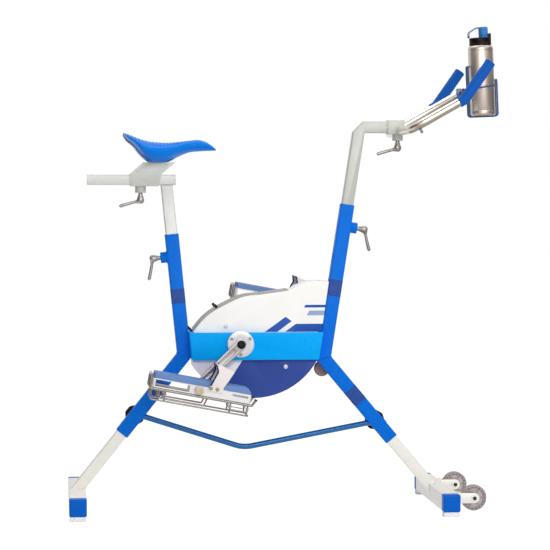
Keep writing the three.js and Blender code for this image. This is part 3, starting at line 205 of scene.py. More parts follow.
def rounded_square(width, height, corner, steps=5):
    """A loop of (u, v) points round a rectangle with rounded corners."""
    points = []
    for su, sv, start in ((1, 1, 0), (-1, 1, 90), (-1, -1, 180), (1, -1, 270)):
        cu, cv = su * (width / 2 - corner), sv * (height / 2 - corner)
        for k in range(steps + 1):
            t = (start + 90 * k / steps) * degree
            points.append((cu + corner * math.cos(t), cv + corner * math.sin(t)))
    return points


def link_outline(start, end, start_radius, end_radius, steps=20):
    """The outline of a flat link with round ends."""
    points = []
    heading = math.atan2(end[1] - start[1], end[0] - start[0])
    for centre, radius, first in ((start, start_radius, math.pi / 2), (end, end_radius, -math.pi / 2)):
        for i in range(steps + 1):
            t = heading + first + math.pi * i / steps
            points.append((centre[0] + radius * math.cos(t), centre[1] + radius * math.sin(t)))
    return points


def to_frame(points):
    """Drawing millimetres as metres about the part's origin."""
    points = np.asarray(points, float).reshape(-1, 3)
    return (points - vec(centre_shift, 0, 0)) * metre


def new_object(name, data):
    made = bpy.data.objects.new(name, data)
    bpy.context.scene.collection.objects.link(made)
    return made


def raw_object(name, shape):
    """An object from a shape, with its faces pointing out."""
    verts, faces = shape
    mesh = bpy.data.meshes.new(name)
    mesh.from_pydata([tuple(v) for v in to_frame(verts)], [], faces)
    mesh.validate()
    bm = bmesh.new()
    bm.from_mesh(mesh)
    bmesh.ops.remove_doubles(bm, verts=bm.verts, dist=merge_distance)
    bmesh.ops.recalc_face_normals(bm, faces=bm.faces)
    bm.to_mesh(mesh)
    bm.free()
    return new_object(name, mesh)


def settle(made):
    """Turns the object with its modifiers into a plain mesh."""
    graph = bpy.context.evaluated_depsgraph_get()
    mesh = bpy.data.meshes.new_from_object(made.evaluated_get(graph), preserve_all_data_layers=True,
                                           depsgraph=graph)
    made.modifiers.clear()
    old = made.data
    made.data = mesh
    mesh.name = made.name
    if old.users == 0:
        bpy.data.meshes.remove(old)


def carve(made, tools):
    """Cuts tool shapes out of an object."""
    cutters = [raw_object(f"{made.name}_tool{i}", tool) for i, tool in enumerate(tools)]
    for cutter in cutters:
        modifier = made.modifiers.new("cut", "BOOLEAN")
        modifier.operation = "DIFFERENCE"
        modifier.solver = "EXACT"
        modifier.object = cutter
    settle(made)
    for cutter in cutters:
        mesh = cutter.data
        bpy.data.objects.remove(cutter)
        bpy.data.meshes.remove(mesh)


def smooth(made, angle=sharp_angle):
    """Smooth shading, but not over the edges that are sharper than the angle."""
    made.data.polygons.foreach_set("use_smooth", [True] * len(made.data.polygons))
    made.data.set_sharp_from_angle(angle=angle * degree)
    made.data.update()


def soften(made, width, steps=3, angle=sharp_angle):
    """Rounds the edges that are sharper than the angle, and smooths the shading."""
    if width:
        bevel = made.modifiers.new("soft edges", "BEVEL")
        bevel.width = width * metre
        bevel.segments = steps
        bevel.limit_method = "ANGLE"
        bevel.angle_limit = angle * degree
        bevel.use_clamp_overlap = True
        bevel.harden_normals = False
        settle(made)
    smooth(made)


def dress(made, finish, node, replace=True):
    """Gives a finished object its finish and slot, and the body of the node it stands for or rides with."""
    if not made.data.materials:
        made.data.materials.append(finish)
    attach(made, body_of[node])
    if replace:
        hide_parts(node)


def add(name, shape, finish, node, width=0.0, steps=3, replace=True):
    """A piece that stands for a node."""
    made = raw_object(name, shape)
    soften(made, width, steps)
    dress(made, finish, node, replace)


def fit(name, shape, finish, node, width=0.0, steps=3):
    """A piece that rides with a node and stands for none."""
    add(name, shape, finish, node, width, steps, False)


def copy_of(node, name, finish, width, steps=3, long_edges=None, angle=sharp_angle):
    """A copy of a CAD node with its facets merged and its edges rounded. long_edges holds the length past
    which an edge is rounded first, and how far."""
    bm = bmesh.new()
    bm.from_mesh(frame["nodes"][node].data)
    bmesh.ops.remove_doubles(bm, verts=bm.verts, dist=merge_distance)
    bmesh.ops.dissolve_limit(bm, angle_limit=1.5 * degree, verts=bm.verts, edges=bm.edges)
    if long_edges:
        length, offset = long_edges
        chosen = [e for e in bm.edges if len(e.link_faces) == 2 and e.calc_length() > length * metre
                  and e.is_convex and e.calc_face_angle() > 30 * degree]
        bmesh.ops.bevel(bm, geom=chosen, offset=offset * metre, segments=3, profile=0.5, affect="EDGES",
                        clamp_overlap=False)
    mesh = bpy.data.meshes.new(name)
    bm.to_mesh(mesh)
    bm.free()
    made = new_object(name, mesh)
    soften(made, width, steps, angle)
    dress(made, finish, node)
    return made


# ---- finishes

def linear(colour):
    """A colour of 0 to 255 as linear light."""
    result = []
    for value in colour:
        c = value / 255
        result.append(c / 12.92 if c <= 0.04045 else ((c + 0.055) / 1.055) ** 2.4)
    return (*result, 1.0)


def link(tree, source, target):
    tree.links.new(source, target)


def feed(tree, socket, value):
    """Links an output to a socket, or sets the socket to a plain value."""
    if isinstance(value, bpy.types.NodeSocket):
        link(tree, value, socket)
    else:
        socket.default_value = value


def new_sockets(tree, values, direction="INPUT"):
    """Named sockets of the kinds that their values need. None stands for a material."""
    for label, value in values.items():
        if value is None:
            kind = "Material"
        elif isinstance(value, tuple):
            kind = "Color" if len(value) == 4 else "Vector"
        else:
            kind = "Int" if isinstance(value, int) else "Float"
        socket = tree.interface.new_socket(name=label, in_out=direction, socket_type="NodeSocket" + kind)
        if direction == "INPUT" and value is not None:
            socket.default_value = value


def new_group(name, inputs, outputs):
    """A shader group, what it is given, and its output node."""
    tree = bpy.data.node_groups.new(name, "ShaderNodeTree")
    new_sockets(tree, inputs)
    new_sockets(tree, outputs, "OUTPUT")
    return tree, tree.nodes.new("NodeGroupInput").outputs, tree.nodes.new("NodeGroupOutput")


def math_node(tree, operation, *values, clamp=False):
    node = tree.nodes.new("ShaderNodeMath")
    node.operation = operation
    node.use_clamp = clamp
    for socket, value in zip(node.inputs, values):
        feed(tree, socket, value)
    return node.outputs[0]


def product(tree, a, b, clamp=False):
    return math_node(tree, "MULTIPLY", a, b, clamp=clamp)


def total(tree, a, b, clamp=False):
    return math_node(tree, "ADD", a, b, clamp=clamp)


def difference(tree, a, b):
    return math_node(tree, "SUBTRACT", a, b)


def mix_colour(tree, factor, a, b):
    node = tree.nodes.new("ShaderNodeMix")
    node.data_type = "RGBA"
    for place, value in ((0, factor), (6, a), (7, b)):
        feed(tree, node.inputs[place], value)
    return node.outputs[2]


def noise(tree, coordinates, stretch, scale, detail):
    mapping = tree.nodes.new("ShaderNodeMapping")
    link(tree, coordinates, mapping.inputs["Vector"])
    feed(tree, mapping.inputs["Scale"], stretch)
    texture = tree.nodes.new("ShaderNodeTexNoise")
    link(tree, mapping.outputs[0], texture.inputs["Vector"])
    feed(tree, texture.inputs["Scale"], scale)
    texture.inputs["Detail"].default_value = detail
    return texture.outputs[0]


def own_place(tree):
    """Object coordinates, which are metres in the frame on every piece."""
    return tree.nodes.new("ShaderNodeTexCoord").outputs["Object"]


def make_grain_group():
    """Fine grain and slow unevenness of a surface: its colour, roughness and height."""
    tree, given, out = new_group(
        "surface_grain",
        {"Colour": (0.5, 0.5, 0.5, 1), "Colour spread": 0.05, "Roughness": 0.4, "Roughness spread": 0.08,
         "Stretch": (1, 1, 1), "Grain scale": 900.0, "Patch scale": 14.0},
        {"Colour": (0, 0, 0, 1), "Roughness": 0.0, "Height": 0.0})
    full_swing = 4.0  # noise strays a quarter from its middle
    place = own_place(tree)
    grain = noise(tree, place, given["Stretch"], given["Grain scale"], 2.0)
    patch = noise(tree, place, (1, 1, 1), given["Patch scale"], 4.0)
    both = total(tree, product(tree, grain, 0.45), product(tree, patch, 0.55))
    centred = difference(tree, both, 0.5)
    spread = product(tree, centred, given["Colour spread"])
    factor = total(tree, product(tree, spread, full_swing), 1.0)
    scaled = tree.nodes.new("ShaderNodeVectorMath")
    scaled.operation = "SCALE"
    link(tree, given["Colour"], scaled.inputs[0])
    link(tree, factor, scaled.inputs["Scale"])
    link(tree, scaled.outputs[0], out.inputs["Colour"])
    change = product(tree, product(tree, centred, given["Roughness spread"]), full_swing)
    link(tree, total(tree, given["Roughness"], change, clamp=True), out.inputs["Roughness"])
    link(tree, grain, out.inputs["Height"])
    return tree


def make_wear_group():
    """Where hands and water wear the edges of a finish, in broken spots."""
    tree, given, out = new_group("edge_wear", {"Amount": 0.3, "Break up scale": 120.0}, {"Mask": 0.0})
    edge_from, edge_gain = 0.52, 9.0
    spots_from, spots_gain = 0.42, 4.0
    place = own_place(tree)
    sharpness = tree.nodes.new("ShaderNodeNewGeometry").outputs["Pointiness"]
    spots = noise(tree, place, (1, 1, 1), given["Break up scale"], 5.0)
    edge = product(tree, difference(tree, sharpness, edge_from), edge_gain, clamp=True)
    broken = product(tree, difference(tree, spots, spots_from), spots_gain, clamp=True)
    mask = product(tree, product(tree, edge, broken), given["Amount"], clamp=True)
    link(tree, mask, out.inputs["Mask"])
    return tree


def make_stripe_group():
    """A mask that is 1 on one side of a slanted line in the side plane."""
    tree, given, out = new_group(
        "side_of_line", {"Line x": 0.0, "Line z": 0.0, "Across x": 1.0, "Across z": 0.0}, {"Mask": 0.0})
    crispness = 2500.0
    split = tree.nodes.new("ShaderNodeSeparateXYZ")
    link(tree, own_place(tree), split.inputs[0])
    along = product(tree, difference(tree, split.outputs[0], given["Line x"]), given["Across x"])
    rise = product(tree, difference(tree, split.outputs[2], given["Line z"]), given["Across z"])
    mask = total(tree, product(tree, total(tree, along, rise), crispness), 0.5, clamp=True)
    link(tree, mask, out.inputs["Mask"])
    return tree


grain_group = make_grain_group()
wear_group = make_wear_group()
stripe_group = make_stripe_group()


def place_group(tree, group, **values):
    node = tree.nodes.new("ShaderNodeGroup")
    node.node_tree = group
    for label, value in values.items():
        feed(tree, node.inputs[label.replace("_", " ")], value)
    return node


def make_finish(name, colour, roughness, metallic=0.0, slot=None, spread=0.05, rough_spread=0.08,
                stretch=(1, 1, 1), grain=900.0, patch=14.0, bump=0.05, wear=0.25, wear_colour=None, coat=0.0,
                coat_roughness=0.15, sheen=0.0, transmission=0.0, specular=0.5, paint=None):
    """A finish with grain, unevenness and worn edges. paint may give a patterned colour."""
    grain_depth, wear_lift = 0.0006, 40
    material = bpy.data.materials.new(name)
    material.use_nodes = True
    tree = material.node_tree
    shader = tree.nodes["Principled BSDF"]
    base = paint(tree) if paint else linear(colour)
    surface = place_group(tree, grain_group, Colour=base, Colour_spread=spread, Roughness=roughness,
                          Roughness_spread=rough_spread, Stretch=stretch, Grain_scale=grain, Patch_scale=patch)
    worn = place_group(tree, wear_group, Amount=wear)
    light = wear_colour or tuple(min(255, c + wear_lift) for c in colour)
    tint = mix_colour(tree, worn.outputs["Mask"], surface.outputs["Colour"], linear(light))
    link(tree, tint, shader.inputs["Base Color"])
    link(tree, surface.outputs["Roughness"], shader.inputs["Roughness"])
    bumped = tree.nodes.new("ShaderNodeBump")
    bumped.inputs["Strength"].default_value = bump
    bumped.inputs["Distance"].default_value = grain_depth
    link(tree, surface.outputs["Height"], bumped.inputs["Height"])
    link(tree, bumped.outputs[0], shader.inputs["Normal"])
    for label, value in (("Metallic", metallic), ("Coat Weight", coat), ("Coat Roughness", coat_roughness),
                         ("Sheen Weight", sheen), ("Transmission Weight", transmission),
                         ("Specular IOR Level", specular)):
        shader.inputs[label].default_value = value
    material.diffuse_color = linear(colour)
    material["slot"] = slot
    return material


def side_mask(tree, x, z, across_x, across_z):
    node = place_group(tree, stripe_group, Line_x=x * metre, Line_z=z * metre, Across_x=across_x,
                       Across_z=across_z)
    return node.outputs["Mask"]


def above(tree, z):
    return side_mask(tree, 0, z, 0, 1)


def below(tree, z):
    return side_mask(tree, 0, z, 0, -1)


def right_of(tree, start, end):
    """Which parts lie to the right of the line from start to end."""
    dx, dz = end[0] - start[0], end[1] - start[1]
    length = math.hypot(dx, dz)
    return side_mask(tree, *start, dz / length, -dx / length)


def outside(tree, mask):
    return difference(tree, 1.0, mask)


def all_of(tree, *masks):
    result = masks[0]
    for mask in masks[1:]:
        result = product(tree, result, mask)
    return result


# The third colour is a pale lavender: painted shade on the housing's white low down.
housing_white, housing_navy, housing_painted_shade = (255, 253, 249), (46, 74, 156), (234, 226, 238)
stripe_navy, stripe_grey = (15, 82, 176), (150, 176, 214)


def housing_paint(tree):
    """White housing with a navy lower part, painted shade in pale lavender behind a slanted edge, and navy stripes
    above the beam.
    Points are (x, z) and heights z, in drawing millimetres."""
    colour = linear(housing_white)
    low = below(tree, 441)
    ahead = right_of(tree, (-177, 406.6), (-151.3, 434.9))
    past_stripe = right_of(tree, (-158.6, 392.4), (-130.3, 436.2))
    colour = mix_colour(tree, all_of(tree, low, past_stripe), colour, linear(housing_navy))
    # Painted shade: the white below the beam line and behind the slanted edge is tinted pale lavender.
    painted_shade_side = outside(tree, ahead)
    colour = mix_colour(tree, all_of(tree, low, painted_shade_side), colour, linear(housing_painted_shade))
    high = above(tree, 521)
    below_upper = right_of(tree, (-59.6, 523.7), (-1.9, 565.1))
    above_lower = outside(tree, right_of(tree, (-22.8, 523.6), (22.8, 557.0)))
    cap_line = side_mask(tree, -1.9, 565.1, -0.58, -0.81)
    colour = mix_colour(tree, all_of(tree, high, below_upper, above_lower, cap_line), colour,
                        linear(stripe_navy))
    past_white = right_of(tree, (-0.7, 523.5), (28.8, 544.5))
    under = below(tree, 544.3)
    colour = mix_colour(tree, all_of(tree, high, past_white, under), colour, linear(stripe_navy))
    for bottom, top, tint, start in ((592, 600, stripe_navy, 52), (569, 583, stripe_grey, 60)):
        band = all_of(tree, above(tree, bottom), below(tree, top), side_mask(tree, start, bottom, 0.87, -0.5))
        colour = mix_colour(tree, band, colour, linear(tint))
    return colour


blue_paint = make_finish("blue_paint", (0, 112, 222), 0.42, slot="blue_paint", spread=0.03, bump=0.12,
                         grain=700.0, specular=0.08, wear=0.2, wear_colour=(50, 140, 240))
beam_paint = make_finish("beam_paint", (0, 172, 255), 0.42, slot="beam_paint", spread=0.03, bump=0.12,
                         grain=700.0, specular=0.06, wear=0.25, wear_colour=(80, 190, 255))
stay_paint = make_finish("stay_paint", (0, 98, 166), 0.24, 0.15, slot="blue_paint", spread=0.04, bump=0.06,
                         grain=500.0, coat=0.3, specular=0.3, wear=0.15)


def silver(name, colour):
    """Satin silver, drawn along the tube."""
    return make_finish(name, colour, 0.48, 0.3, slot="silver_tube", spread=0.03, bump=0.06, grain=500.0,
                       stretch=(1, 1, 0.12), patch=9.0, wear=0.3, wear_colour=(246, 246, 242))


silver_tube = silver("silver_tube", (211, 211, 207))
post_silver = silver("post_silver", (194, 196, 189))
leg_silver = silver("leg_silver", (242, 239, 232))
lever_metal = make_finish("lever_metal", (176, 170, 166), 0.34, 0.75, slot="silver_tube", spread=0.04,
                          bump=0.04, grain=900.0, wear=0.35, wear_colour=(230, 227, 224))
bolt_steel = make_finish("bolt_steel", (168, 156, 142), 0.36, 0.6, slot="stainless", spread=0.05, bump=0.05,
                         wear=0.3, wear_colour=(204, 196, 184))
stainless = make_finish("stainless", (222, 217, 207), 0.3, 0.95, slot="stainless", spread=0.02,
                        rough_spread=0.03, bump=0.004, grain=420.0, stretch=(0.12, 1, 1), wear=0.2,
                        wear_colour=(232, 224, 210))
bottle_steel = make_finish("bottle_steel", (214, 202, 192), 0.36, 0.9, slot="stainless", spread=0.02,
                           rough_spread=0.03, bump=0.003, grain=520.0, stretch=(1, 1, 0.06), wear=0.15)
crank_metal = make_finish("crank_metal", (190, 188, 188), 0.32, 1.0, slot="stainless", spread=0.06, bump=0.1,
                          grain=600.0, wear=0.5, wear_colour=(235, 230, 222))
bearing_metal = make_finish("bearing_metal", (224, 224, 226), 0.42, 0.5, slot="stainless", spread=0.05,
                            bump=0.1, grain=700.0, wear=0.4, wear_colour=(240, 240, 236))
wire_steel = make_finish("wire_steel", (150, 144, 140), 0.28, 0.9, slot="silver_tube", spread=0.05, bump=0.05)
dark_metal = make_finish("dark_metal", (60, 52, 54), 0.35, 0.7, slot="knob_black", spread=0.05, bump=0.06)
saddle_blue = make_finish("saddle_blue", (0, 124, 228), 0.28, slot="saddle_blue", spread=0.035,
                          rough_spread=0.05, bump=0.06, grain=1400.0, coat=0.1, coat_roughness=0.08,
                          specular=0.06, wear=0.1, wear_colour=(50, 150, 240))
saddle_edge = make_finish("saddle_edge", (16, 62, 118), 0.45, slot="saddle_blue", bump=0.1)
cap_blue = make_finish("cap_blue", (0, 98, 202), 0.42, slot="cap_blue", spread=0.04, bump=0.12, grain=1200.0,
                       specular=0.1, wear=0.3, wear_colour=(70, 140, 240))
grip_blue = make_finish("grip_blue", (4, 88, 180), 0.5, slot="grip_blue", spread=0.05, bump=0.35,
                        grain=1600.0, specular=0.14, sheen=0.02, wear=0.15)
pad_rubber = make_finish("pad_rubber", (250, 250, 250), 0.75, slot="pad_rubber", spread=0.06, bump=0.25,
                         grain=1300.0, wear=0.2)
shell_white = make_finish("shell_white", housing_white, 0.36, slot="white_shell", spread=0.02,
                          rough_spread=0.05, bump=0.06, grain=500.0, coat=0.1, specular=0.25, wear=0.1,
                          wear_colour=(252, 250, 246), paint=housing_paint)
# Grey of the knob covers, and painted shade on the strip laid over the housing's top.
cover_grey_and_top_shade = make_finish("cover_grey_and_top_shade", (170, 164, 160), 0.5, slot="knob_black", spread=0.06, bump=0.15)
wheel_grey = make_finish("wheel_grey", (172, 162, 160), 0.42, slot="wheel_grey", spread=0.06, bump=0.15,
                         grain=800.0, transmission=0.25, wear=0.3)
wheel_hub = make_finish("wheel_hub", (226, 222, 220), 0.45, slot="wheel_grey", spread=0.05, bump=0.1)
knob_black = make_finish("knob_black", (14, 12, 16), 0.45, slot="knob_black", spread=0.08, bump=0.25,
                         grain=1300.0, specular=0.2, wear=0.5, wear_colour=(80, 80, 86))
collar_black = make_finish("collar_black", (16, 4, 10), 0.42, slot="knob_black", spread=0.06, bump=0.15,
                           specular=0.14, wear=0.4, wear_colour=(96, 80, 90))
tray_white = make_finish("tray_white", (240, 239, 238), 0.45, slot="tray_white", spread=0.02, bump=0.1,
                         grain=900.0, wear=0.15, wear_colour=(252, 252, 250))
strap_white = make_finish("strap_white", (244, 236, 230), 0.48, slot="tray_white", spread=0.03, bump=0.12,
                          grain=1000.0, wear=0.2, wear_colour=(252, 248, 244))
pedal_blue = make_finish("pedal_blue", (104, 138, 196), 0.6, slot="spout_blue", spread=0.05, bump=0.25,
                         grain=1500.0, wear=0.3, wear_colour=(150, 178, 220))
navy = make_finish("navy", (18, 28, 92), 0.5, specular=0.2, slot="cap_blue", spread=0.06, bump=0.1)
band_navy = make_finish("band_navy", (44, 80, 158), 0.5, slot="blue_paint", spread=0.06, bump=0.08,
                        grain=500.0, specular=0.15, wear=0.2, wear_colour=(90, 110, 180))
cage_blue = make_finish("cage_blue", (6, 72, 124), 0.3, 0.1, slot="cage_blue", spread=0.06, bump=0.08,
                        grain=900.0, coat=0.25, wear=0.35, wear_colour=(90, 160, 200))
spout_blue = make_finish("spout_blue", (40, 122, 190), 0.4, slot="spout_blue", spread=0.04, bump=0.08,
                         specular=0.3)
loop_blue = make_finish("loop_blue", (126, 150, 176), 0.42, slot="spout_blue", spread=0.04, bump=0.1)
knob_beige = make_finish("knob_beige", (206, 192, 172), 0.45, 0.4, slot="stainless", spread=0.06, bump=0.1,
                         wear=0.4, wear_colour=(236, 228, 214))
bumper_grey = make_finish("bumper_grey", (160, 136, 124), 0.6, slot="pad_rubber", spread=0.06, bump=0.2,
                          specular=0.2)


# ---- repeated pieces

def new_tree(name, inputs):
    """A Geometry Nodes tree, what it is given, and its output node."""
    tree = bpy.data.node_groups.new(name, "GeometryNodeTree")
    tree.is_modifier = True
    tree.interface.new_socket(name="Geometry", in_out="INPUT", socket_type="NodeSocketGeometry")
    new_sockets(tree, inputs)
    tree.interface.new_socket(name="Geometry", in_out="OUTPUT", socket_type="NodeSocketGeometry")
    return tree, tree.nodes.new("NodeGroupInput").outputs, tree.nodes.new("NodeGroupOutput")


def plain(tree, kind, **values):
    """A node whose inputs are fed by name."""
    node = tree.nodes.new(kind)
    for label, value in values.items():
        feed(tree, node.inputs[label.replace("_", " ")], value)
    return node


def xyz(tree, x=0.0, y=0.0, z=0.0):
    return plain(tree, "ShaderNodeCombineXYZ", X=x, Y=y, Z=z).outputs[0]


def moved(tree, geometry, translation, **more):
    return plain(tree, "GeometryNodeTransform", Geometry=geometry, Translation=translation, **more).outputs[0]


def put_out(tree, given, out, points, shape, **more):
    """Ends a tree: the shape on each point, as one mesh in its finish."""
    copies = plain(tree, "GeometryNodeInstanceOnPoints", Points=points, Instance=shape, **more)
    real = plain(tree, "GeometryNodeRealizeInstances", Geometry=copies.outputs[0])
    coloured = plain(tree, "GeometryNodeSetMaterial", Geometry=real.outputs[0], Material=given["Finish"])
    link(tree, coloured.outputs[0], out.inputs[0])


def make_bolt_ring_tree():
    """Bolts with washers on a circle."""
    tree, given, out = new_tree("bolt_ring", {
        "Count": 5, "Circle radius": 0.03, "Head radius": 0.0035, "Head height": 0.0025, "Corners": 16,
        "Finish": None})
    washer_share, washer_spread, top_share = 0.3, 1.35, 0.8
    line = plain(tree, "GeometryNodeMeshLine", Count=given["Count"], Offset=xyz(tree))
    index = tree.nodes.new("GeometryNodeInputIndex").outputs[0]
    turn = product(tree, index, math_node(tree, "DIVIDE", 2 * math.pi, given["Count"]))
    place = xyz(tree, x=product(tree, math_node(tree, "COSINE", turn), given["Circle radius"]),
                y=product(tree, math_node(tree, "SINE", turn), given["Circle radius"]))
    places = plain(tree, "GeometryNodeSetPosition", Geometry=line.outputs[0], Position=place)
    wide = product(tree, given["Head radius"], washer_spread)
    thin = product(tree, given["Head height"], washer_share)
    tall = product(tree, given["Head height"], 1 - washer_share)
    slim = product(tree, given["Head radius"], top_share)
    washer = plain(tree, "GeometryNodeMeshCylinder", Vertices=24, Radius=wide, Depth=thin)
    head = plain(tree, "GeometryNodeMeshCone", Vertices=given["Corners"], Radius_Bottom=given["Head radius"],
                 Radius_Top=slim, Depth=tall)
    lifted = moved(tree, head.outputs[0], xyz(tree, z=thin))
    low = moved(tree, washer.outputs[0], xyz(tree, z=product(tree, thin, 0.5)))
    both = tree.nodes.new("GeometryNodeJoinGeometry")
    link(tree, low, both.inputs[0])
    link(tree, lifted, both.inputs[0])
    put_out(tree, given, out, places.outputs[0], both.outputs[0])
    return tree


def make_rib_row_tree():
    """Rounded ribs side by side."""
    tree, given, out = new_tree("rib_row", {
        "Count": 10, "Pitch": 0.01, "Length": 0.1, "Half width": 0.002, "Rise": 0.6, "Finish": None})
    line = plain(tree, "GeometryNodeMeshLine", Count=given["Count"], Offset=xyz(tree, x=given["Pitch"]))
    rib = plain(tree, "GeometryNodeMeshCylinder", Vertices=12, Radius=given["Half width"], Depth=given["Length"])
    flat = moved(tree, rib.outputs[0], xyz(tree), Scale=xyz(tree, x=1.0, y=given["Rise"], z=1.0))
    put_out(tree, given, out, line.outputs[0], flat)
    return tree


def make_nub_tree():
    """Small round nubs on chosen points."""
    tree, given, out = new_tree("nubs_on_points", {"Nub radius": 0.003, "Flatness": 0.6, "Finish": None})
    ball = plain(tree, "GeometryNodeMeshUVSphere", Segments=12, Rings=7, Radius=given["Nub radius"])
    flat = moved(tree, ball.outputs[0], xyz(tree), Scale=xyz(tree, x=1.0, y=1.0, z=given["Flatness"]))
    put_out(tree, given, out, given["Geometry"], flat)
    return tree


def make_spoke_tree():
    """Bars round a centre."""
    tree, given, out = new_tree("spoke_ring", {
        "Count": 6, "Inner radius": 0.01, "Outer radius": 0.03, "Width": 0.006, "Thickness": 0.012,
        "Finish": None})
    line = plain(tree, "GeometryNodeMeshLine", Count=given["Count"], Offset=xyz(tree))
    reach = difference(tree, given["Outer radius"], given["Inner radius"])
    middle = product(tree, total(tree, given["Outer radius"], given["Inner radius"]), 0.5)
    bar = plain(tree, "GeometryNodeMeshCube", Size=xyz(tree, x=reach, y=given["Width"], z=given["Thickness"]))
    on_ring = moved(tree, bar.outputs[0], xyz(tree, x=middle))
    index = tree.nodes.new("GeometryNodeInputIndex").outputs[0]
    step = math_node(tree, "DIVIDE", 2 * math.pi, given["Count"])
    turn = plain(tree, "FunctionNodeEulerToRotation", Euler=xyz(tree, z=product(tree, index, step)))
    put_out(tree, given, out, line.outputs[0], on_ring, Rotation=turn.outputs[0])
    return tree


bolt_ring_tree = make_bolt_ring_tree()
rib_row_tree = make_rib_row_tree()
nub_tree = make_nub_tree()
spoke_tree = make_spoke_tree()


def axes_at(origin, x_axis, y_axis, z_axis):
    """A placement from the local axes to the frame. The origin is in drawing millimetres."""
    matrix = Matrix.Identity(4)
    for column, values in enumerate((x_axis, y_axis, z_axis, to_frame([origin])[0])):
        for row in range(3):
            matrix[row][column] = float(values[row])
    return matrix


def repeated(name, tree, values, finish, node, placement=None, points=None, width=0.0):
    """Runs a tree once, keeps its mesh, and puts it on the node's body."""
    mesh = bpy.data.meshes.new(name)
    if points is not None:
        mesh.from_pydata([tuple(p) for p in to_frame(points)], [], [])
    made = new_object(name, mesh)
    modifier = made.modifiers.new("repeat", "NODES")
    modifier.node_group = tree
    values = {**values, "Finish": finish}
    for item in tree.interface.items_tree:
        if item.item_type == "SOCKET" and item.in_out == "INPUT" and item.name in values:
            modifier[item.identifier] = values[item.name]
    settle(made)
    if placement is not None:
        made.data.transform(placement)
    soften(made, width, 2)
    dress(made, finish, node, replace=False)


def bolts(name, finish, node, placement, radius, height, corners=6, count=1, circle=0.0):
    """Bolts on a circle, or one at its middle. The sizes are in millimetres."""
    repeated(name, bolt_ring_tree, {
        "Count": count, "Circle radius": circle * metre, "Head radius": radius * metre,
        "Head height": height * metre, "Corners": corners}, finish, node, placement)


def ribs(name, finish, node, placement, count, pitch, length, half_width, rise):
    """A row of ribs. The sizes are in millimetres."""
    repeated(name, rib_row_tree, {
        "Count": count, "Pitch": pitch * metre, "Length": length * metre, "Half width": half_width * metre,
        "Rise": rise}, finish, node, placement)


def spokes(name, finish, node, placement, count, inner, outer, breadth, thickness, width=0.0):
    """Bars round a centre. The sizes are in millimetres."""
    repeated(name, spoke_tree, {
        "Count": count, "Inner radius": inner * metre, "Outer radius": outer * metre, "Width": breadth * metre,
        "Thickness": thickness * metre}, finish, node, placement, width=width)


def round_axis(direction):
    """Local axes whose third lies along the direction."""
    d = unit(direction)
    helper = vec(0, 0, 1) if abs(d[2]) < 0.9 else vec(1, 0, 0)
    a = unit(helper - d * helper.dot(d))
    return a, np.cross(d, a), d


# ---- frame lines

class Strut:
    """A start point in the side plane and a lean from straight up, forward positive."""

    def __init__(self, x, z, lean):
        self.x, self.z = x, z
        self.lean = lean * degree
        self.along = (math.sin(self.lean), math.cos(self.lean))
        self.across = (math.cos(self.lean), -math.sin(self.lean))

    def at(self, distance, offset=0.0, y=0.0):
        return vec(self.x + distance * self.along[0] + offset * self.across[0], y,
                   self.z + distance * self.along[1] + offset * self.across[1])

    def face_x(self, height, offset=0.0):
        return self.x + (height - self.z) * math.tan(self.lean) + offset / math.cos(self.lean)

    def reach_of(self, height, offset=0.0):
        """The distance along the strut at which it comes to a height."""
        return (height - self.z - offset * self.across[1]) / self.along[1]


def mitre(bar, mate, offset):
    """How far along a bar its mitred end lies, at an offset across it."""
    bisector = (bar.along[0] + mate.along[0], bar.along[1] + mate.along[1])

    def cross(a, b):
        return a[0] * b[1] - a[1] * b[0]

    return -offset * cross(bar.across, bisector) / cross(bar.along, bisector)


rear_corner, front_corner = (-296, 451), (117, 440)
rear, rear_leg = Strut(*rear_corner, -5.8), Strut(*rear_corner, -(90 + 51.3))
front, front_leg = Strut(*front_corner, 8.8), Strut(*front_corner, 90 + 50)
frame_tube, frame_wall, frame_corner = 40, 2.5, 4.5
post_tube, post_wall, post_corner = 34, 2, 3.2
rear_length, front_length = 358, 459
rear_sleeve, front_sleeve = 293, 314
leg_insert, post_insert = 170, 190
beam_low, beam_high = 441, 519


def strut_tube(bar, start, end, size, wall, corner, mate=None, end_height=None, edge=0.5):
    """A hollow square tube with rounded corners along a strut."""
    def ring(width, distance_of, lift=0.0):
        radius = max(corner - (size - width) / 2, 0.5)
        return [bar.at(distance_of(u) + lift, u, v) for u, v in rounded_square(width, width, radius)]

    def begin(u):
        return start + (mitre(bar, mate, u) if mate else 0.0)

    def finish(u):
        if end_height is None:
            return end
        return bar.reach_of(end_height, u)

    inner = size - 2 * wall
    return lofted([
        ring(size, begin), ring(size, finish, -edge), ring(size - edge, finish, -edge * 0.3),
        ring(size - 2 * edge, finish), ring(inner + edge, finish), ring(inner, finish, -edge), ring(inner, begin),
    ], closed=True)


def mitre_bead(bar, mate):
    """The weld bead round a mitred corner of the frame."""
    size, spacing, radius = frame_tube + 0.6, 1.5, 1.5
    points = [bar.at(mitre(bar, mate, u), u, v) for u, v in rounded_square(size, size, frame_corner, 8)]
    path, count = [], len(points)
    for i in range(count):
        a, b = points[i], points[(i + 1) % count]
        pieces = max(1, int(np.linalg.norm(b - a) / spacing))
        for k in range(pieces):
            path.append(a + (b - a) * k / pieces)
    return weld_bead(path, radius, 0.16 * radius, 1.7)


def boss_shape(origin, axis, radius, length):
    """A threaded boss welded to a tube, with its fillet."""
    sink, bore = 1.2, 5.4
    return turned([(bore, -sink), (radius + 2.6, -sink), (radius + 2.2, 0.8), (radius + 0.8, 2.0), (radius, 3.4),
                   (radius, length - 1.2), (radius - 0.4, length - 0.35), (radius - 1.2, length), (6.6, length),
                   (bore, length - 1.0), (bore, -sink)], origin, axis)


lever_boss_radius, lever_boss_length = 16.0, 19.0
knob_boss_radius, knob_boss_length = 14, 9
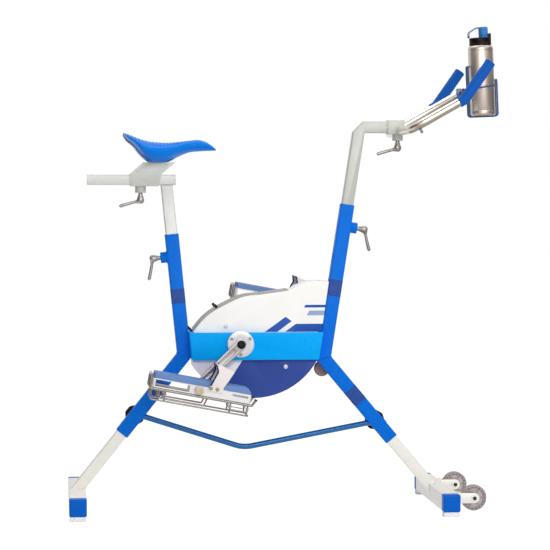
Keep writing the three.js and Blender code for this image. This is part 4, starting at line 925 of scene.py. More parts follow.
# Where levers and knobs stand on the tubes. The levers' places come with the way out.
seat_clamp = (rear.at(rear_length - 66, -frame_tube / 2), vec(-rear.across[0], 0, -rear.across[1]))
bar_post_clamp = (front.at(front_length - 65, frame_tube / 2), vec(front.across[0], 0, front.across[1]))
rear_knob_point = rear_leg.at(229, 0, frame_tube / 2)
front_knob_point = front_leg.at(245, 0, frame_tube / 2)

for node, bar, length, mate, clamp in (("rear_upright", rear, rear_length, rear_leg, seat_clamp),
                                       ("front_upright", front, front_length, front_leg, bar_post_clamp)):
    add(f"{node}_tube", merged(
        strut_tube(bar, gap, length, frame_tube, frame_wall, frame_corner, mate), mitre_bead(bar, mate),
        boss_shape(*clamp, lever_boss_radius, lever_boss_length)), blue_paint, node)
for node, bar, length, mate, knob in (("rear_leg_sleeve", rear_leg, rear_sleeve, rear, rear_knob_point),
                                      ("front_leg_sleeve", front_leg, front_sleeve, front, front_knob_point)):
    add(f"{node}_tube", merged(
        strut_tube(bar, gap, length, frame_tube, frame_wall, frame_corner, mate),
        boss_shape(knob, sideways, knob_boss_radius, knob_boss_length)), blue_paint, node)

for label, bar, start, end, node in (
        ("rear_upright_band", rear, 154, 197, "rear_upright"),
        ("front_upright_band", front, 186, 235, "front_upright"),
        ("rear_leg_band", rear_leg, 97, 147, "rear_leg_sleeve"),
        ("front_leg_band", front_leg, 119, 170, "front_leg_sleeve")):
    fit(label, strut_tube(bar, start, end, frame_tube + 0.5, 0.35, frame_corner, edge=0.1), band_navy, node)

copy_of("beam", "beam_rails", beam_paint, 1.6, 3)
for label, side in both_sides:
    for bar, name, sign in ((rear, "rear", 1), (front, "front", -1)):
        low, high = (bar.face_x(z, sign * (frame_tube / 2 + 0.4)) for z in (beam_low, beam_high))
        run = [vec(low + (high - low) * k / 20, side * (frame_tube / 2 + 2.6),
                   beam_low + (beam_high - beam_low) * k / 20) for k in range(21)]
        fit(f"beam_{name}_{label}_weld", weld_bead(run, 1.7, 0.25, 1.9, 10, closed=False), beam_paint, "beam")


# ---- stay bar

def sleeve_block(bar, length):
    """A block as wide as a leg sleeve, which cuts the stay bar to its face."""
    half, past = frame_tube / 2 + 0.1, length + 30
    outline = [bar.at(0, half), bar.at(past, half), bar.at(past, -half), bar.at(0, -half)]
    return prism([(p[0], p[2]) for p in outline], -half, half)


stay_radius, stay_bend = 8.5, 100
stay_rear, stay_low, stay_front = rear_leg.at(222), vec(-121, 0, 177), front_leg.at(246)
stay_path = bent([stay_rear, stay_low, stay_front], stay_bend, 24)
stay = raw_object("stay_bar_tube", sweep(stay_path, stay_radius, 36))
carve(stay, [sleeve_block(rear_leg, rear_sleeve), sleeve_block(front_leg, front_sleeve)])
smooth(stay)
dress(stay, stay_paint, "stay_bar")


def stay_bead(bar, end_point):
    """The weld ring where the stay bar meets a sleeve."""
    d = unit(stay_low - end_point)
    e = np.cross(d, sideways)
    across = vec(bar.across[0], 0, bar.across[1])
    path = []
    for t in round_turns(40):
        off = (sideways * math.cos(t) + e * math.sin(t)) * (stay_radius + 0.1)
        s = (-(frame_tube / 2 + 0.4) - off.dot(across)) / d.dot(across)
        path.append(end_point + d * s + off)
    return weld_bead(path, 1.4, 0.2, 2.1)


fit("stay_rear_weld", stay_bead(rear_leg, stay_rear), blue_paint, "stay_bar")
fit("stay_front_weld", stay_bead(front_leg, stay_front), blue_paint, "stay_bar")

# ---- legs, foot bars, caps and pads

foot_tube, foot_top, foot_middle, foot_span, foot_cap = 50, 64, 39, 550, 36
foot_bore, foot_plug = 44, 42.6
foot_half = foot_tube / 2 + gap
rear_bar_x = rear_leg.face_x(foot_top) - 4
front_bar_x = front_leg.face_x(foot_top) + 24

add("rear_leg_tube", strut_tube(rear_leg, rear_sleeve - leg_insert, 0, post_tube, post_wall, post_corner,
                                end_height=foot_top + gap, edge=0.2), leg_silver, "rear_leg")
leg = raw_object("front_leg_tube", strut_tube(front_leg, front_sleeve - leg_insert, 0, post_tube, post_wall,
                                              post_corner, end_height=foot_middle + 0.5, edge=0.2))
carve(leg, [box(front_bar_x - foot_half, front_bar_x + foot_half, -90, 90, -5, foot_middle + foot_half)])
smooth(leg)
dress(leg, leg_silver, "front_leg")


def foot_ring(bar_x, y, size, corner):
    return [vec(bar_x + u, y, foot_middle + v) for u, v in rounded_square(size, size, corner, 6)]


def foot_bar_shape(bar_x):
    end = foot_span / 2 - foot_cap - gap
    return lofted([foot_ring(bar_x, -end, foot_tube, 4), foot_ring(bar_x, end, foot_tube, 4),
                   foot_ring(bar_x, end, foot_bore, 2), foot_ring(bar_x, -end, foot_bore, 2)], closed=True)


def foot_cap_shape(bar_x, side):
    """An end cap with its plug in the foot bar and a rounded outer end."""
    start, end, plug_depth, rounding = foot_span / 2 - foot_cap, foot_span / 2, 15, 6
    rings = [foot_ring(bar_x, side * y, size, corner) for y, size, corner in (
        (start - plug_depth, foot_plug, 2), (start, foot_plug, 2), (start, foot_tube - 0.6, 3.8),
        (start + 0.4, foot_tube, 4))]
    for k in range(7):
        t = 90 * degree * k / 6
        rings.append(foot_ring(bar_x, side * (end - rounding + rounding * math.sin(t)),
                               foot_tube - 2 * rounding * (1 - math.cos(t)), 4 + 2 * k / 6))
    return lofted(rings)


def leg_bead(bar, height):
    """The weld round a leg where it lands on the foot bar."""
    size = post_tube + 0.8
    path = [bar.at(bar.reach_of(height, u), u, v) for u, v in rounded_square(size, size, post_corner, 8)]
    return weld_bead(path, 1.5, 0.2, 1.9)


fit("rear_leg_weld", leg_bead(rear_leg, foot_top + 1.0), leg_silver, "rear_leg")

for end_name, bar_x in (("rear", rear_bar_x), ("front", front_bar_x)):
    add(f"{end_name}_foot_tube", foot_bar_shape(bar_x), leg_silver, f"{end_name}_foot_bar", 0.5, 2)
    for label, side in both_sides:
        cap_node = f"{end_name}_{label}_foot_cap"
        add(f"{cap_node}_moulding", foot_cap_shape(bar_x, side), cap_blue, cap_node)
        pad_node = f"{end_name}_{label}_foot_pad"
        copy_of(pad_node, f"{pad_node}_rubber", pad_rubber, 1.6, 3)
        origin = vec(bar_x - 21, side * (foot_span / 2 - 2 + 0.1), 6.5)
        ribs(f"{pad_node}_ribs", pad_rubber, pad_node, axes_at(origin, (1, 0, 0), (0, side, 0), (0, 0, side)),
             count=8, pitch=6, length=10, half_width=1.4, rise=0.7)

# ---- clamp levers

hub_length, hub_face, lever_length = 32, 31.0, 64
lever_base = lever_boss_length + gap


def lever_parts(origin, axis, arm_direction, depth):
    """Hub with skirt, polished stud, and a swept arm that swells to its tip."""
    axis, arm = unit(axis), unit(arm_direction)
    base = lever_base
    stud = turned([(0, -depth), (4.6, -depth), (5, 0.5 - depth), (5, base + 8), (0, base + 8)], origin, axis)
    hub = turned([(0, base), (5.6, base), (6.2, base + 0.6), (6.4, base + 3), (7.2, base + 7), (8.8, base + 12),
                  (10.4, base + 17), (11, base + 20.5), (10.9, base + 24), (9.8, base + 28), (7.6, base + 30.8),
                  (5, base + 31.9), (4.2, base + hub_face), (0, base + hub_face)], origin, axis)
    root = origin + axis * (base + hub_length - 8.5)
    tip_share, tip_radius = 0.08, 0.3
    path, radii = [], []
    for k in range(25):
        s = k / 24
        path.append(root + arm * (lever_length * s) + axis * (4.5 * s * s))
        swell = 4.0 + 1.2 * s
        tip = math.sqrt(max(0.0, 1 - max(0.0, (s - (1 - tip_share)) / tip_share) ** 2))
        radii.append(max(swell * tip, tip_radius) if s < 1 else tip_radius)
    handle = sweep(path, radii, 24)
    collar = sweep([root + arm * 4, root + arm * 9, root + arm * 15], [7.6, 6.4, 4.4], 24)
    return hub, stud, handle, collar


def add_lever(node, origin, axis, arm, depth):
    hub, stud, handle, collar = lever_parts(origin, axis, arm, depth)
    add(f"{node}_body", merged(hub, handle, collar), lever_metal, node)
    fit(f"{node}_stud", stud, wire_steel, node)
    top = origin + unit(axis) * (lever_base + hub_face)
    bolts(f"{node}_screw", dark_metal, node, axes_at(top, *round_axis(axis)), 3, 0.9)


down = vec(0, 0, -1)
rearwards = vec(-1, 0, -0.1955)
seat_bar_bottom, seat_bar_height, slide_clearance, slider_wall = 951, 30, 0.5, 3
bar_height = 1122
bar_slider_bottom = bar_height - post_tube / 2 - slide_clearance - slider_wall
add_lever("seat_post_lever", *seat_clamp, vec(rear.along[0], 0, -rear.along[1]), 2.5)
add_lever("handlebar_post_lever", *bar_post_clamp, vec(front.along[0], 0, -front.along[1]), 2.5)
add_lever("saddle_lever", vec(-423, 0, seat_bar_bottom - 3.5), down, rearwards, 3)
add_lever("handlebar_lever", vec(337, 0, bar_slider_bottom), down, rearwards, 3)

# ---- knobs and bumper

def knob_outline(scale):
    """A round outline with nine shallow lobes."""
    points = []
    for t in round_turns(168):
        r = (29.5 - 0.6 * (1 - math.cos(9 * t))) * scale
        points.append((r * math.cos(t), r * math.sin(t)))
    return points


def knob_shape(centre):
    start = knob_boss_length + gap
    rings = []
    for scale, y in ((0.0, 0), (0.86, 0), (0.95, 0.8), (0.99, 2.4), (1.0, 4.5), (1.0, 17.0), (0.985, 19.4),
                     (0.93, 21.2), (0.84, 22.0), (0.42, 22.0), (0.38, 21.0), (0.0, 21.0)):
        rings.append([centre + vec(a, start + y, b) for a, b in knob_outline(max(scale, point_radius))])
    return lofted(rings)


for end_name, centre in (("rear", rear_knob_point), ("front", front_knob_point)):
    node = f"{end_name}_leg_knob"
    add(f"{node}_grip", knob_shape(centre), knob_black, node)
    fit(f"{node}_stud", turned([(0, -2.5), (4.6, -2.5), (5, -2), (5, 18), (0, 18)], centre, sideways),
        wire_steel, node)
    fit(f"{node}_cover", turned([(0, 30.2), (9.8, 30.2), (9.8, 31.2), (8.8, 31.9), (4, 32.3), (0, 32.3)],
                                centre, sideways), cover_grey_and_top_shade, node)

bumper = front_leg.at(24, 22, frame_tube / 2 + gap)
add("corner_bumper_ring", turned([(0, 0), (20, 0), (22.4, 3), (23.8, 6.4), (24, 8), (23.8, 9.6), (22.4, 13),
                                  (20, 16), (8, 16), (6.6, 14.8), (0, 14.8)], bumper, sideways), bumper_grey,
    "corner_bumper")
fit("corner_bumper_cap", turned([(0, 14.9), (6.2, 14.9), (6.2, 15.6), (5.2, 16.0), (0, 16.0)], bumper,
                                sideways), knob_black, "corner_bumper")

# ---- transport wheels

near_facing = (1, 0, 0), (0, 0, 1), (0, -1, 0)
wheel_x, wheel_y, wheel_z = front_bar_x + foot_tube / 2 + 56, 163, 42
for label, side in both_sides:
    axle = vec(wheel_x, side * wheel_y, wheel_z)
    copy_of(f"{label}_wheel_fork", f"{label}_fork_plates", leg_silver, 0.7, 2, angle=50)
    for face, hand in both_sides:
        fit(f"{label}_axle_nut_{face}", turned([
            (0, 23), (6.2, 23), (6.4, 23.4), (6.4, 24.3), (5.4, 24.8), (3.4, 24.8), (3.0, 24.2), (0, 24.2)], axle,
            vec(0, hand, 0), 6), dark_metal, f"{label}_wheel_fork")
    add(f"{label}_wheel_tyre", turned([
        (27.4, -10), (29, -11.6), (34, -12), (36.4, -10.8), (37.5, -8), (37.5, 8), (36.4, 10.8), (34, 12),
        (29, 11.6), (27.4, 10), (27.0, 4), (27.0, -4), (27.4, -10)], axle, sideways, 64), wheel_grey,
        f"{label}_wheel")
    fit(f"{label}_wheel_hub", turned([
        (5.4, -12), (11, -12), (12, -11), (12, 11), (11, 12), (5.4, 12), (5.4, -12)], axle, sideways, 40),
        wheel_hub, f"{label}_wheel")
    spokes(f"{label}_wheel_spokes", wheel_grey, f"{label}_wheel", axes_at(axle, *near_facing),
           count=6, inner=10, outer=28.5, breadth=6, thickness=12, width=0.8)
    bolts(f"{label}_wheel_rim_studs", dark_metal, f"{label}_wheel",
          axes_at(axle + vec(0, -11.7, 0), *near_facing), 1.3, 0.5, corners=8, count=18, circle=31.2)

# ---- seat post, bar and slider

add("seat_post_tube", strut_tube(rear, rear_length - post_insert, 0, post_tube, post_wall, post_corner,
                                 end_height=seat_bar_bottom - gap, edge=0.2), silver_tube, "seat_post")
fit("seat_post_weld", sweep([rear.at(rear.reach_of(seat_bar_bottom - 0.8, u), u, v) for u, v in
                             rounded_square(post_tube + 0.4, post_tube + 0.4, post_corner, 8)], 1.2, 8,
                            closed=True), silver_tube, "seat_post")
seat_bar_rear = -579
seat_bar_front = rear.face_x(seat_bar_bottom) + 27


def seat_bar_shape():
    """A hollow bar with its rear end open and a plug in its front end. Rings run from inside to outside."""
    middle, h = seat_bar_bottom + seat_bar_height / 2, seat_bar_height
    rings = [
        (seat_bar_front - 2.5, 29, h - 5, 1.5), (seat_bar_rear + 0.3, 29, h - 5, 1.5),
        (seat_bar_rear, 29.8, h - 4.2, 1.8), (seat_bar_rear, 33.2, h - 0.8, 2.4), (seat_bar_rear + 0.4, 34, h, 3),
        (seat_bar_front - 5.4, 34, h, 3), (seat_bar_front - 5.0, 33.2, h - 0.8, 2.7),
        (seat_bar_front - 4.2, 33.2, h - 0.8, 2.7), (seat_bar_front - 3.8, 34, h, 3),
        (seat_bar_front - 0.6, 34, h, 3), (seat_bar_front, 33, h - 1, 2.5)]
    return lofted([[vec(x, u, middle + v) for u, v in rounded_square(width, height, corner)]
                   for x, width, height, corner in rings])


add("seat_bar_tube", seat_bar_shape(), silver_tube, "seat_bar")
slider = copy_of("saddle_slider", "saddle_slider_bracket", post_silver, 0.0)
bracket_top = seat_bar_bottom + seat_bar_height + slide_clearance + slider_wall + 33
panel = [(-437, 988.5), (-374, 988.5), (-343, 1013.5), (-406, 1013.5)]
panel_face, panel_past = 18.3, 24
carve(slider, [prism(panel, -panel_past, -panel_face), prism(panel, panel_face, panel_past)])
soften(slider, 0.9, 3)

# ---- saddle

# Share of the length, then top and bottom as shares of the height, then half width as a share.
saddle_rows = np.array([
    [0.0, 1.0, 0.93, 0.34], [0.044, 0.955, 0.72, 0.68], [0.12, 0.86, 0.49, 0.9], [0.176, 0.79, 0.24, 0.98],
    [0.271, 0.71, 0.0, 1.0], [0.374, 0.675, -0.06, 0.92], [0.48, 0.665, 0.0, 0.74], [0.615, 0.71, 0.215, 0.5],
    [0.71, 0.745, 0.33, 0.4], [0.82, 0.76, 0.37, 0.35], [0.916, 0.65, 0.385, 0.3], [0.965, 0.54, 0.39, 0.23],
    [1.0, 0.44, 0.4, 0.1]])
saddle_length, saddle_tail, saddle_height, saddle_half = 273, -474, 86, 95
saddle_base = bracket_top + gap


def saddle_row(along):
    """Top, bottom and half width at a share of the length, on smooth curves."""
    xs = saddle_rows[:, 0]
    i = int(np.clip(np.searchsorted(xs, along) - 1, 0, len(xs) - 2))
    h = xs[i + 1] - xs[i]
    t = (along - xs[i]) / h
    result = []
    for column in (1, 2, 3):
        y = saddle_rows[:, column]
        slopes = np.gradient(y, xs)
        a, b = y[i], y[i + 1]
        ma, mb = slopes[i] * h, slopes[i + 1] * h
        result.append((2 * t ** 3 - 3 * t ** 2 + 1) * a + (t ** 3 - 2 * t ** 2 + t) * ma
                      + (-2 * t ** 3 + 3 * t ** 2) * b + (t ** 3 - t ** 2) * mb)
    return result


def saddle_point(along, turn):
    """A point of the cover, at a share of the length and a turn round its section."""
    waist_share, tuck, squareness = 0.58, 0.3, 0.86
    channel_depth, channel_half, channel_middle, channel_reach = 3.5, 11, 0.42, 0.3
    top_share, bottom_share, width_share = saddle_row(along)
    top = saddle_base + saddle_height * top_share
    bottom = saddle_base + saddle_height * bottom_share
    waist = bottom + (top - bottom) * waist_share
    c, rise = math.cos(turn), math.sin(turn)
    drawn_in = 1 - tuck * rise * rise if rise < 0 else 1.0
    shaped = math.copysign(abs(c) ** squareness, c)
    y = saddle_half * width_share * shaped * drawn_in
    z = waist + rise * ((waist - bottom) if rise < 0 else (top - waist))
    if rise > 0:
        across = math.exp(-(y / channel_half) ** 2)
        lengthways = math.exp(-((along - channel_middle) / channel_reach) ** 4)
        z -= channel_depth * (across * lengthways) * rise
    return vec(saddle_tail + saddle_length * along, y, max(z, saddle_base))


def saddle_shape():
    """The cover as rings, closer together towards its ends."""
    steps, sides, end_share = 84, 72, 0.35
    rings = []
    for i in range(steps + 1):
        share = i / steps
        along = (1 - math.cos(math.pi * share)) / 2 * end_share + share * (1 - end_share)
        rings.append([saddle_point(along, turn) for turn in round_turns(sides)])
    return lofted(rings)


saddle = raw_object("saddle_cover", saddle_shape())
finer = saddle.modifiers.new("finer", "SUBSURF")
finer.levels = 1
finer.render_levels = 1
settle(saddle)
smooth(saddle, 60)
dress(saddle, saddle_blue, "saddle")

nub_points = []
for row in range(15):
    along = 0.05 + row * 0.038
    for k in range(-6, 7):
        turn = math.pi / 2 - k * 0.155 + (0.077 if row % 2 else 0)
        nub_points.append(saddle_point(along, turn) + vec(0, 0, -0.5))
repeated("saddle_massage_nubs", nub_tree, {"Nub radius": 1.9 * metre, "Flatness": 0.7}, saddle_blue, "saddle",
         points=nub_points)
tail_edge = []
for k in range(61):
    s = k / 60
    from_tail = abs(1 - 2 * s)
    turn = -math.pi / 2 + 0.2 * math.pi * math.copysign(min(1, from_tail * 4), 0.5 - s)
    tail_edge.append(saddle_point(0.3 * from_tail ** 1.2 + 0.004, turn) + vec(0, 0, 0.2))
fit("saddle_tail_edge", sweep(tail_edge, 2.2, 10), saddle_edge, "saddle")

# ---- handlebar post, slider and tubes

copy_of("handlebar_post", "handlebar_post_tube", post_silver, 0.3, 2, long_edges=(28, 2.6))
copy_of("handlebar_slider", "handlebar_slider_sleeve", post_silver, 0.9, 3)
half_in, half_out = post_tube / 2 + 0.25, post_tube / 2 + 2.6
fit("handlebar_slider_lip", lofted([
    [vec(x, u, bar_height + v) for u, v in rounded_square(2 * h, 2 * h, 3)] for x, h in
    ((304.2, half_in), (304.2, half_out - 0.6), (304.7, half_out), (305.7, half_out), (305.7, half_in))],
    closed=True), lever_metal, "handlebar_slider")

bar_turn, grip_turn = 29.5 * degree, 55 * degree
slope = vec(math.cos(bar_turn), 0, math.sin(bar_turn))
grip_slope = vec(math.cos(grip_turn), 0, math.sin(grip_turn))
bar_radius, bar_half_width, bar_bend = 12.5, 250, 45
grip_radius, grip_length, grip_bend, past_arm, over_arm = 15.5, 131, 30, 12, 6
cross_x, cross_z, grip_x = 343, bar_height - bar_radius, 483
grip_start = vec(cross_x, 0, cross_z) + slope * ((grip_x - cross_x) / slope[0])
up_axis = np.cross(sideways, slope)
grip_up_axis = np.cross(grip_slope, sideways)
for label, side in both_sides:
    y = vec(0, side * bar_half_width, 0)
    elbow = grip_start + slope * past_arm + y
    arm = bent([vec(cross_x, side * 20.8, cross_z), vec(cross_x, side * bar_half_width, cross_z), elbow],
               bar_bend, 20)
    add(f"{label}_bar_tube", sweep(arm, bar_radius, 40), stainless, f"{label}_bar_arm")
    weld_radius = bar_radius + 0.3
    ring = [vec(cross_x + weld_radius * math.cos(t), side * 21.6, cross_z + weld_radius * math.sin(t))
            for t in round_turns(40)]
    fit(f"{label}_bar_weld", sweep(ring, 1.0, 8, closed=True), silver_tube, f"{label}_bar_arm")
    start = grip_start - slope * over_arm + y
    tip = elbow + grip_slope * grip_length
    path = bent([start, elbow, tip], grip_bend, 12)
    path = [path[0], path[0] + slope * 0.8] + path[1:-1] + [tip - grip_slope * 2.4, tip - grip_slope * 0.7, tip]
    radii = [14.7] + [grip_radius] * (len(path) - 4) + [grip_radius, 14.9, 13.4]
    grip = raw_object(f"{label}_grip_sleeve", sweep(path, radii, 40))
    bore = sweep([start - slope * over_arm, start + slope * (past_arm + over_arm + gap)], bar_radius + 0.3, 32)
    carve(grip, [bore])
    smooth(grip)
    dress(grip, grip_blue, f"{label}_grip")
    for k, lift in enumerate((10, 121)):
        centre = elbow + grip_slope * (lift + 3)
        hoop = [centre + (sideways * math.cos(t) + grip_up_axis * math.sin(t)) * grip_radius
                for t in round_turns(40)]
        fit(f"{label}_grip_ring_{k}", sweep(hoop, 0.55, 8, closed=True), grip_blue, f"{label}_grip")

across_bar = vec(slope[2], 0, -slope[0])
fit("near_bar_drain_plug", turned([(0, 0), (4.6, 0), (4.2, 2), (4, 11), (3, 13), (0, 13)],
                                  vec(360, -bar_half_width, 1119.1) + across_bar * 11, across_bar),
    lever_metal, "near_bar_arm")

bottle_tube_end = vec(513, 0, 1215)
bar_slider_front = 306 + 50


def bottle_tube_ring(radius):
    """A loop round the free end of the bottle tube."""
    return [bottle_tube_end + (sideways * math.cos(t) + up_axis * math.sin(t)) * radius for t in round_turns(40)]


at_slider = [p - slope * ((p[0] - bar_slider_front - gap) / slope[0]) for p in bottle_tube_ring(bar_radius)]
add("bottle_tube_bar", lofted([at_slider, [p + slope * -1.2 for p in bottle_tube_ring(bar_radius)],
                               bottle_tube_ring(bar_radius - 0.8)]), stainless, "bottle_tube")

# ---- bottle, collar, lid and cage

lean = 2.4 * degree
bottle_up = vec(-math.sin(lean), 0, math.cos(lean))
bottle_ahead = vec(math.cos(lean), 0, math.sin(lean))
bottle_base = vec(593, 0, 1159)
bottle_height, bottle_radius = 206, 37.5


def on_bottle(rise, ahead=0.0, y=0.0):
    return bottle_base + bottle_up * rise + bottle_ahead * ahead + vec(0, y, 0)


shoulder = []
for k in range(9):
    t = 90 * degree * k / 8
    shoulder.append((30 + 7.5 * math.cos(t), 194 + 12 * math.sin(t) * 0.98))
bottle_profile = [(0, 1.2), (30, 1.2), (31, 0.2), (33.6, 0), (36.4, 1.1), (37.5, 4), (37.5, 12), (37.2, 12.6),
                  (37.2, 13.6), (37.5, 14.2), (37.5, 188), (37.3, 188.6), (37.3, 189.6), (37.5, 190.2),
                  (37.5, 194)]
bottle_profile += shoulder[1:] + [(30, bottle_height - 0.1), (27, bottle_height - 0.1), (27, 203), (35.9, 192),
                                  (35.9, 4), (34, 2.0), (0, 2.0)]
add("bottle_steel_body", turned(bottle_profile, bottle_base, bottle_up, 72), bottle_steel, "bottle_body")

collar_base = bottle_height + gap
add("bottle_collar_ring", turned([
    (0, -8), (25, -8), (25.2, 0), (31.4, 0), (32.3, 0.8), (32.3, 9.5), (31.7, 10), (31.7, 11), (32.3, 11.6),
    (32.3, 20.6), (31.2, 22), (17, 22), (16.4, 21.2), (0, 21.2)], on_bottle(collar_base), bottle_up, 72),
    collar_black, "bottle_collar")
spokes("bottle_collar_knurl", collar_black, "bottle_collar",
       axes_at(on_bottle(collar_base + 5.2), bottle_ahead, sideways, bottle_up),
       count=48, inner=31.4, outer=32.48, breadth=1.8, thickness=8)


def bottle_slab(outline, half):
    """An outline of (ahead, rise) points on the bottle, thick to both sides."""
    return lofted([[on_bottle(r, a, -half) for a, r in outline], [on_bottle(r, a, half) for a, r in outline]])


spout_ahead, spout_radius, spout_height = 10, 14, 32
tab_rear = spout_ahead + spout_radius + 1
collar_top = collar_base + 22
fit("bottle_hinge_tab", bottle_slab([
    (tab_rear, collar_top - 11), (tab_rear + 6, collar_top - 11), (tab_rear + 6, collar_top + 11),
    (tab_rear + 4.5, collar_top + 13), (tab_rear + 1.5, collar_top + 13), (tab_rear, collar_top + 11)], 12),
    collar_black, "bottle_collar", 0.9, 3)
lid_base = collar_top + gap
add("bottle_spout_cap", turned([
    (0, 0), (13.4, 0), (14, 0.6), (14, 5), (13.4, 5.6), (13.4, 6.6), (14, 7.2), (14, 28), (13.2, 30.6), (10.8, 32),
    (0, 32)], on_bottle(lid_base, spout_ahead), bottle_up, 56), spout_blue, "bottle_lid")
top_line, loop_rear = lid_base + spout_height - 2.5, -34.5
loop_path = bent([on_bottle(top_line, spout_ahead), on_bottle(top_line, -11),
                  on_bottle(top_line - 13.5, loop_rear), on_bottle(lid_base + 0.2, loop_rear)], 9, 12)
fit("bottle_carry_loop", sweep(loop_path, 1.0, section=rounded_square(12, 5, 1.8, 4)), loop_blue, "bottle_lid")
fit("bottle_loop_pin", turned([(0, -8), (2.0, -8), (2.6, -7.2), (2.6, 7.2), (2.0, 8), (0, 8)],
                              on_bottle(lid_base + 3.2, loop_rear), sideways, 24), collar_black, "bottle_lid")

cage_wire_radius = 2.5
reach = bottle_radius + 0.5 + 3
strap_reach, half_pitch = reach + 1.5, 14
low, ring_rise, top = -3.8, 82, 145
hook = ring_rise + 22
cage_wire = bent([on_bottle(rise, ahead * strap_reach, y * half_pitch) for rise, ahead, y in (
    (top, -1, -1), (low, -1, -1), (low, 1, -1), (hook, 1, -1), (hook, 1, 1), (low, 1, 1), (low, -1, 1),
    (top, -1, 1))], 8, 8)
top_arc = bent([on_bottle(rise, -strap_reach, y * half_pitch) for rise, y in (
    (top - 7, -1), (top, -1), (top, 1), (top - 7, 1))], 6.5, 8)
tilt = math.tan(8 * degree)
cage_ring = [on_bottle(ring_rise + reach * math.cos(t) * tilt, reach * math.cos(t), reach * math.sin(t))
             for t in round_turns(64)]
# The long wire stops under the arc, which closes it.
cage_wire[0] = on_bottle(top - 6, -strap_reach, -half_pitch)
cage_wire[-1] = on_bottle(top - 6, -strap_reach, half_pitch)
add("bottle_cage_wires", merged(*(sweep(path, cage_wire_radius, wire_sides, closed) for path, closed in (
    (cage_wire, False), (top_arc, False), (cage_ring, True)))), cage_blue, "bottle_cage")
plate_rear, plate_front, plate_middle = bottle_tube_end[0] + gap, on_bottle(ring_rise, -reach)[0], 1224
plate = raw_object("bottle_cage_plate", box(plate_rear, plate_front, -8, 8, plate_middle - 13,
                                            plate_middle + 13))
carve(plate, [sweep([bottle_tube_end - slope * 40, bottle_tube_end + slope * 0.6], bar_radius + 0.4, 40)])
soften(plate, 0.8, 2)
dress(plate, cage_blue, "bottle_cage", replace=False)
for k in range(2):
    bolts(f"bottle_cage_bolt_{k}", dark_metal, "bottle_cage",
          axes_at(vec(524 + 9 * k, -8, plate_middle + 9 * k), *near_facing), 3.4, 3)

# ---- housing, bearings and cranks

crank_x, crank_z, crank_length, crank_turn = -134, 487, 178, 43.2 * degree
beam_half, bearing_thick, arm_thick, pedal_y, pedal_half = 67, 9, 12, 160, 55
housing_rear, housing_long, rim_low, rim_high, rim_end = -283, 410, 520, 150, 0.722
copy_of("drive_axle", "drive_shaft_and_paddles", lever_metal, 0.3, 2)
# The housing's top line, as shares of its length and of its height over the beam.
housing_shares = [(0.034, 0.053), (0.115, 0.307), (0.215, 0.493), (0.378, 0.7), (0.52, 0.753), (0.722, 0.833),
                  (0.771, 0.9), (0.883, 1.0), (1.0, 0.987)]
top_points = [vec(housing_rear + housing_long * a, 0, rim_low + rim_high * b) for a, b in housing_shares]


def through(points, steps):
    """A smooth path through points."""
    path = []
    last = len(points) - 1
    for i in range(steps + 1):
        p = last * i / steps
        k = min(int(p), last - 1)
        t = p - k
        a, b, c, d = points[max(k - 1, 0)], points[k], points[k + 1], points[min(k + 2, last)]
        v, w = (c - a) / 2, (d - b) / 2
        path.append((2 * b - 2 * c + v + w) * t ** 3 + (3 * c - 3 * b - 2 * v - w) * t ** 2 + v * t + b)
    return path


rim_path = [p for p in through(top_points, 96) if p[0] < housing_rear + housing_long * rim_end]


def crank_end(side):
    """The middle of a pedal, on the end of its arm."""
    return vec(crank_x + side * crank_length * math.cos(crank_turn), side * pedal_y,
               crank_z + side * crank_length * math.sin(crank_turn))


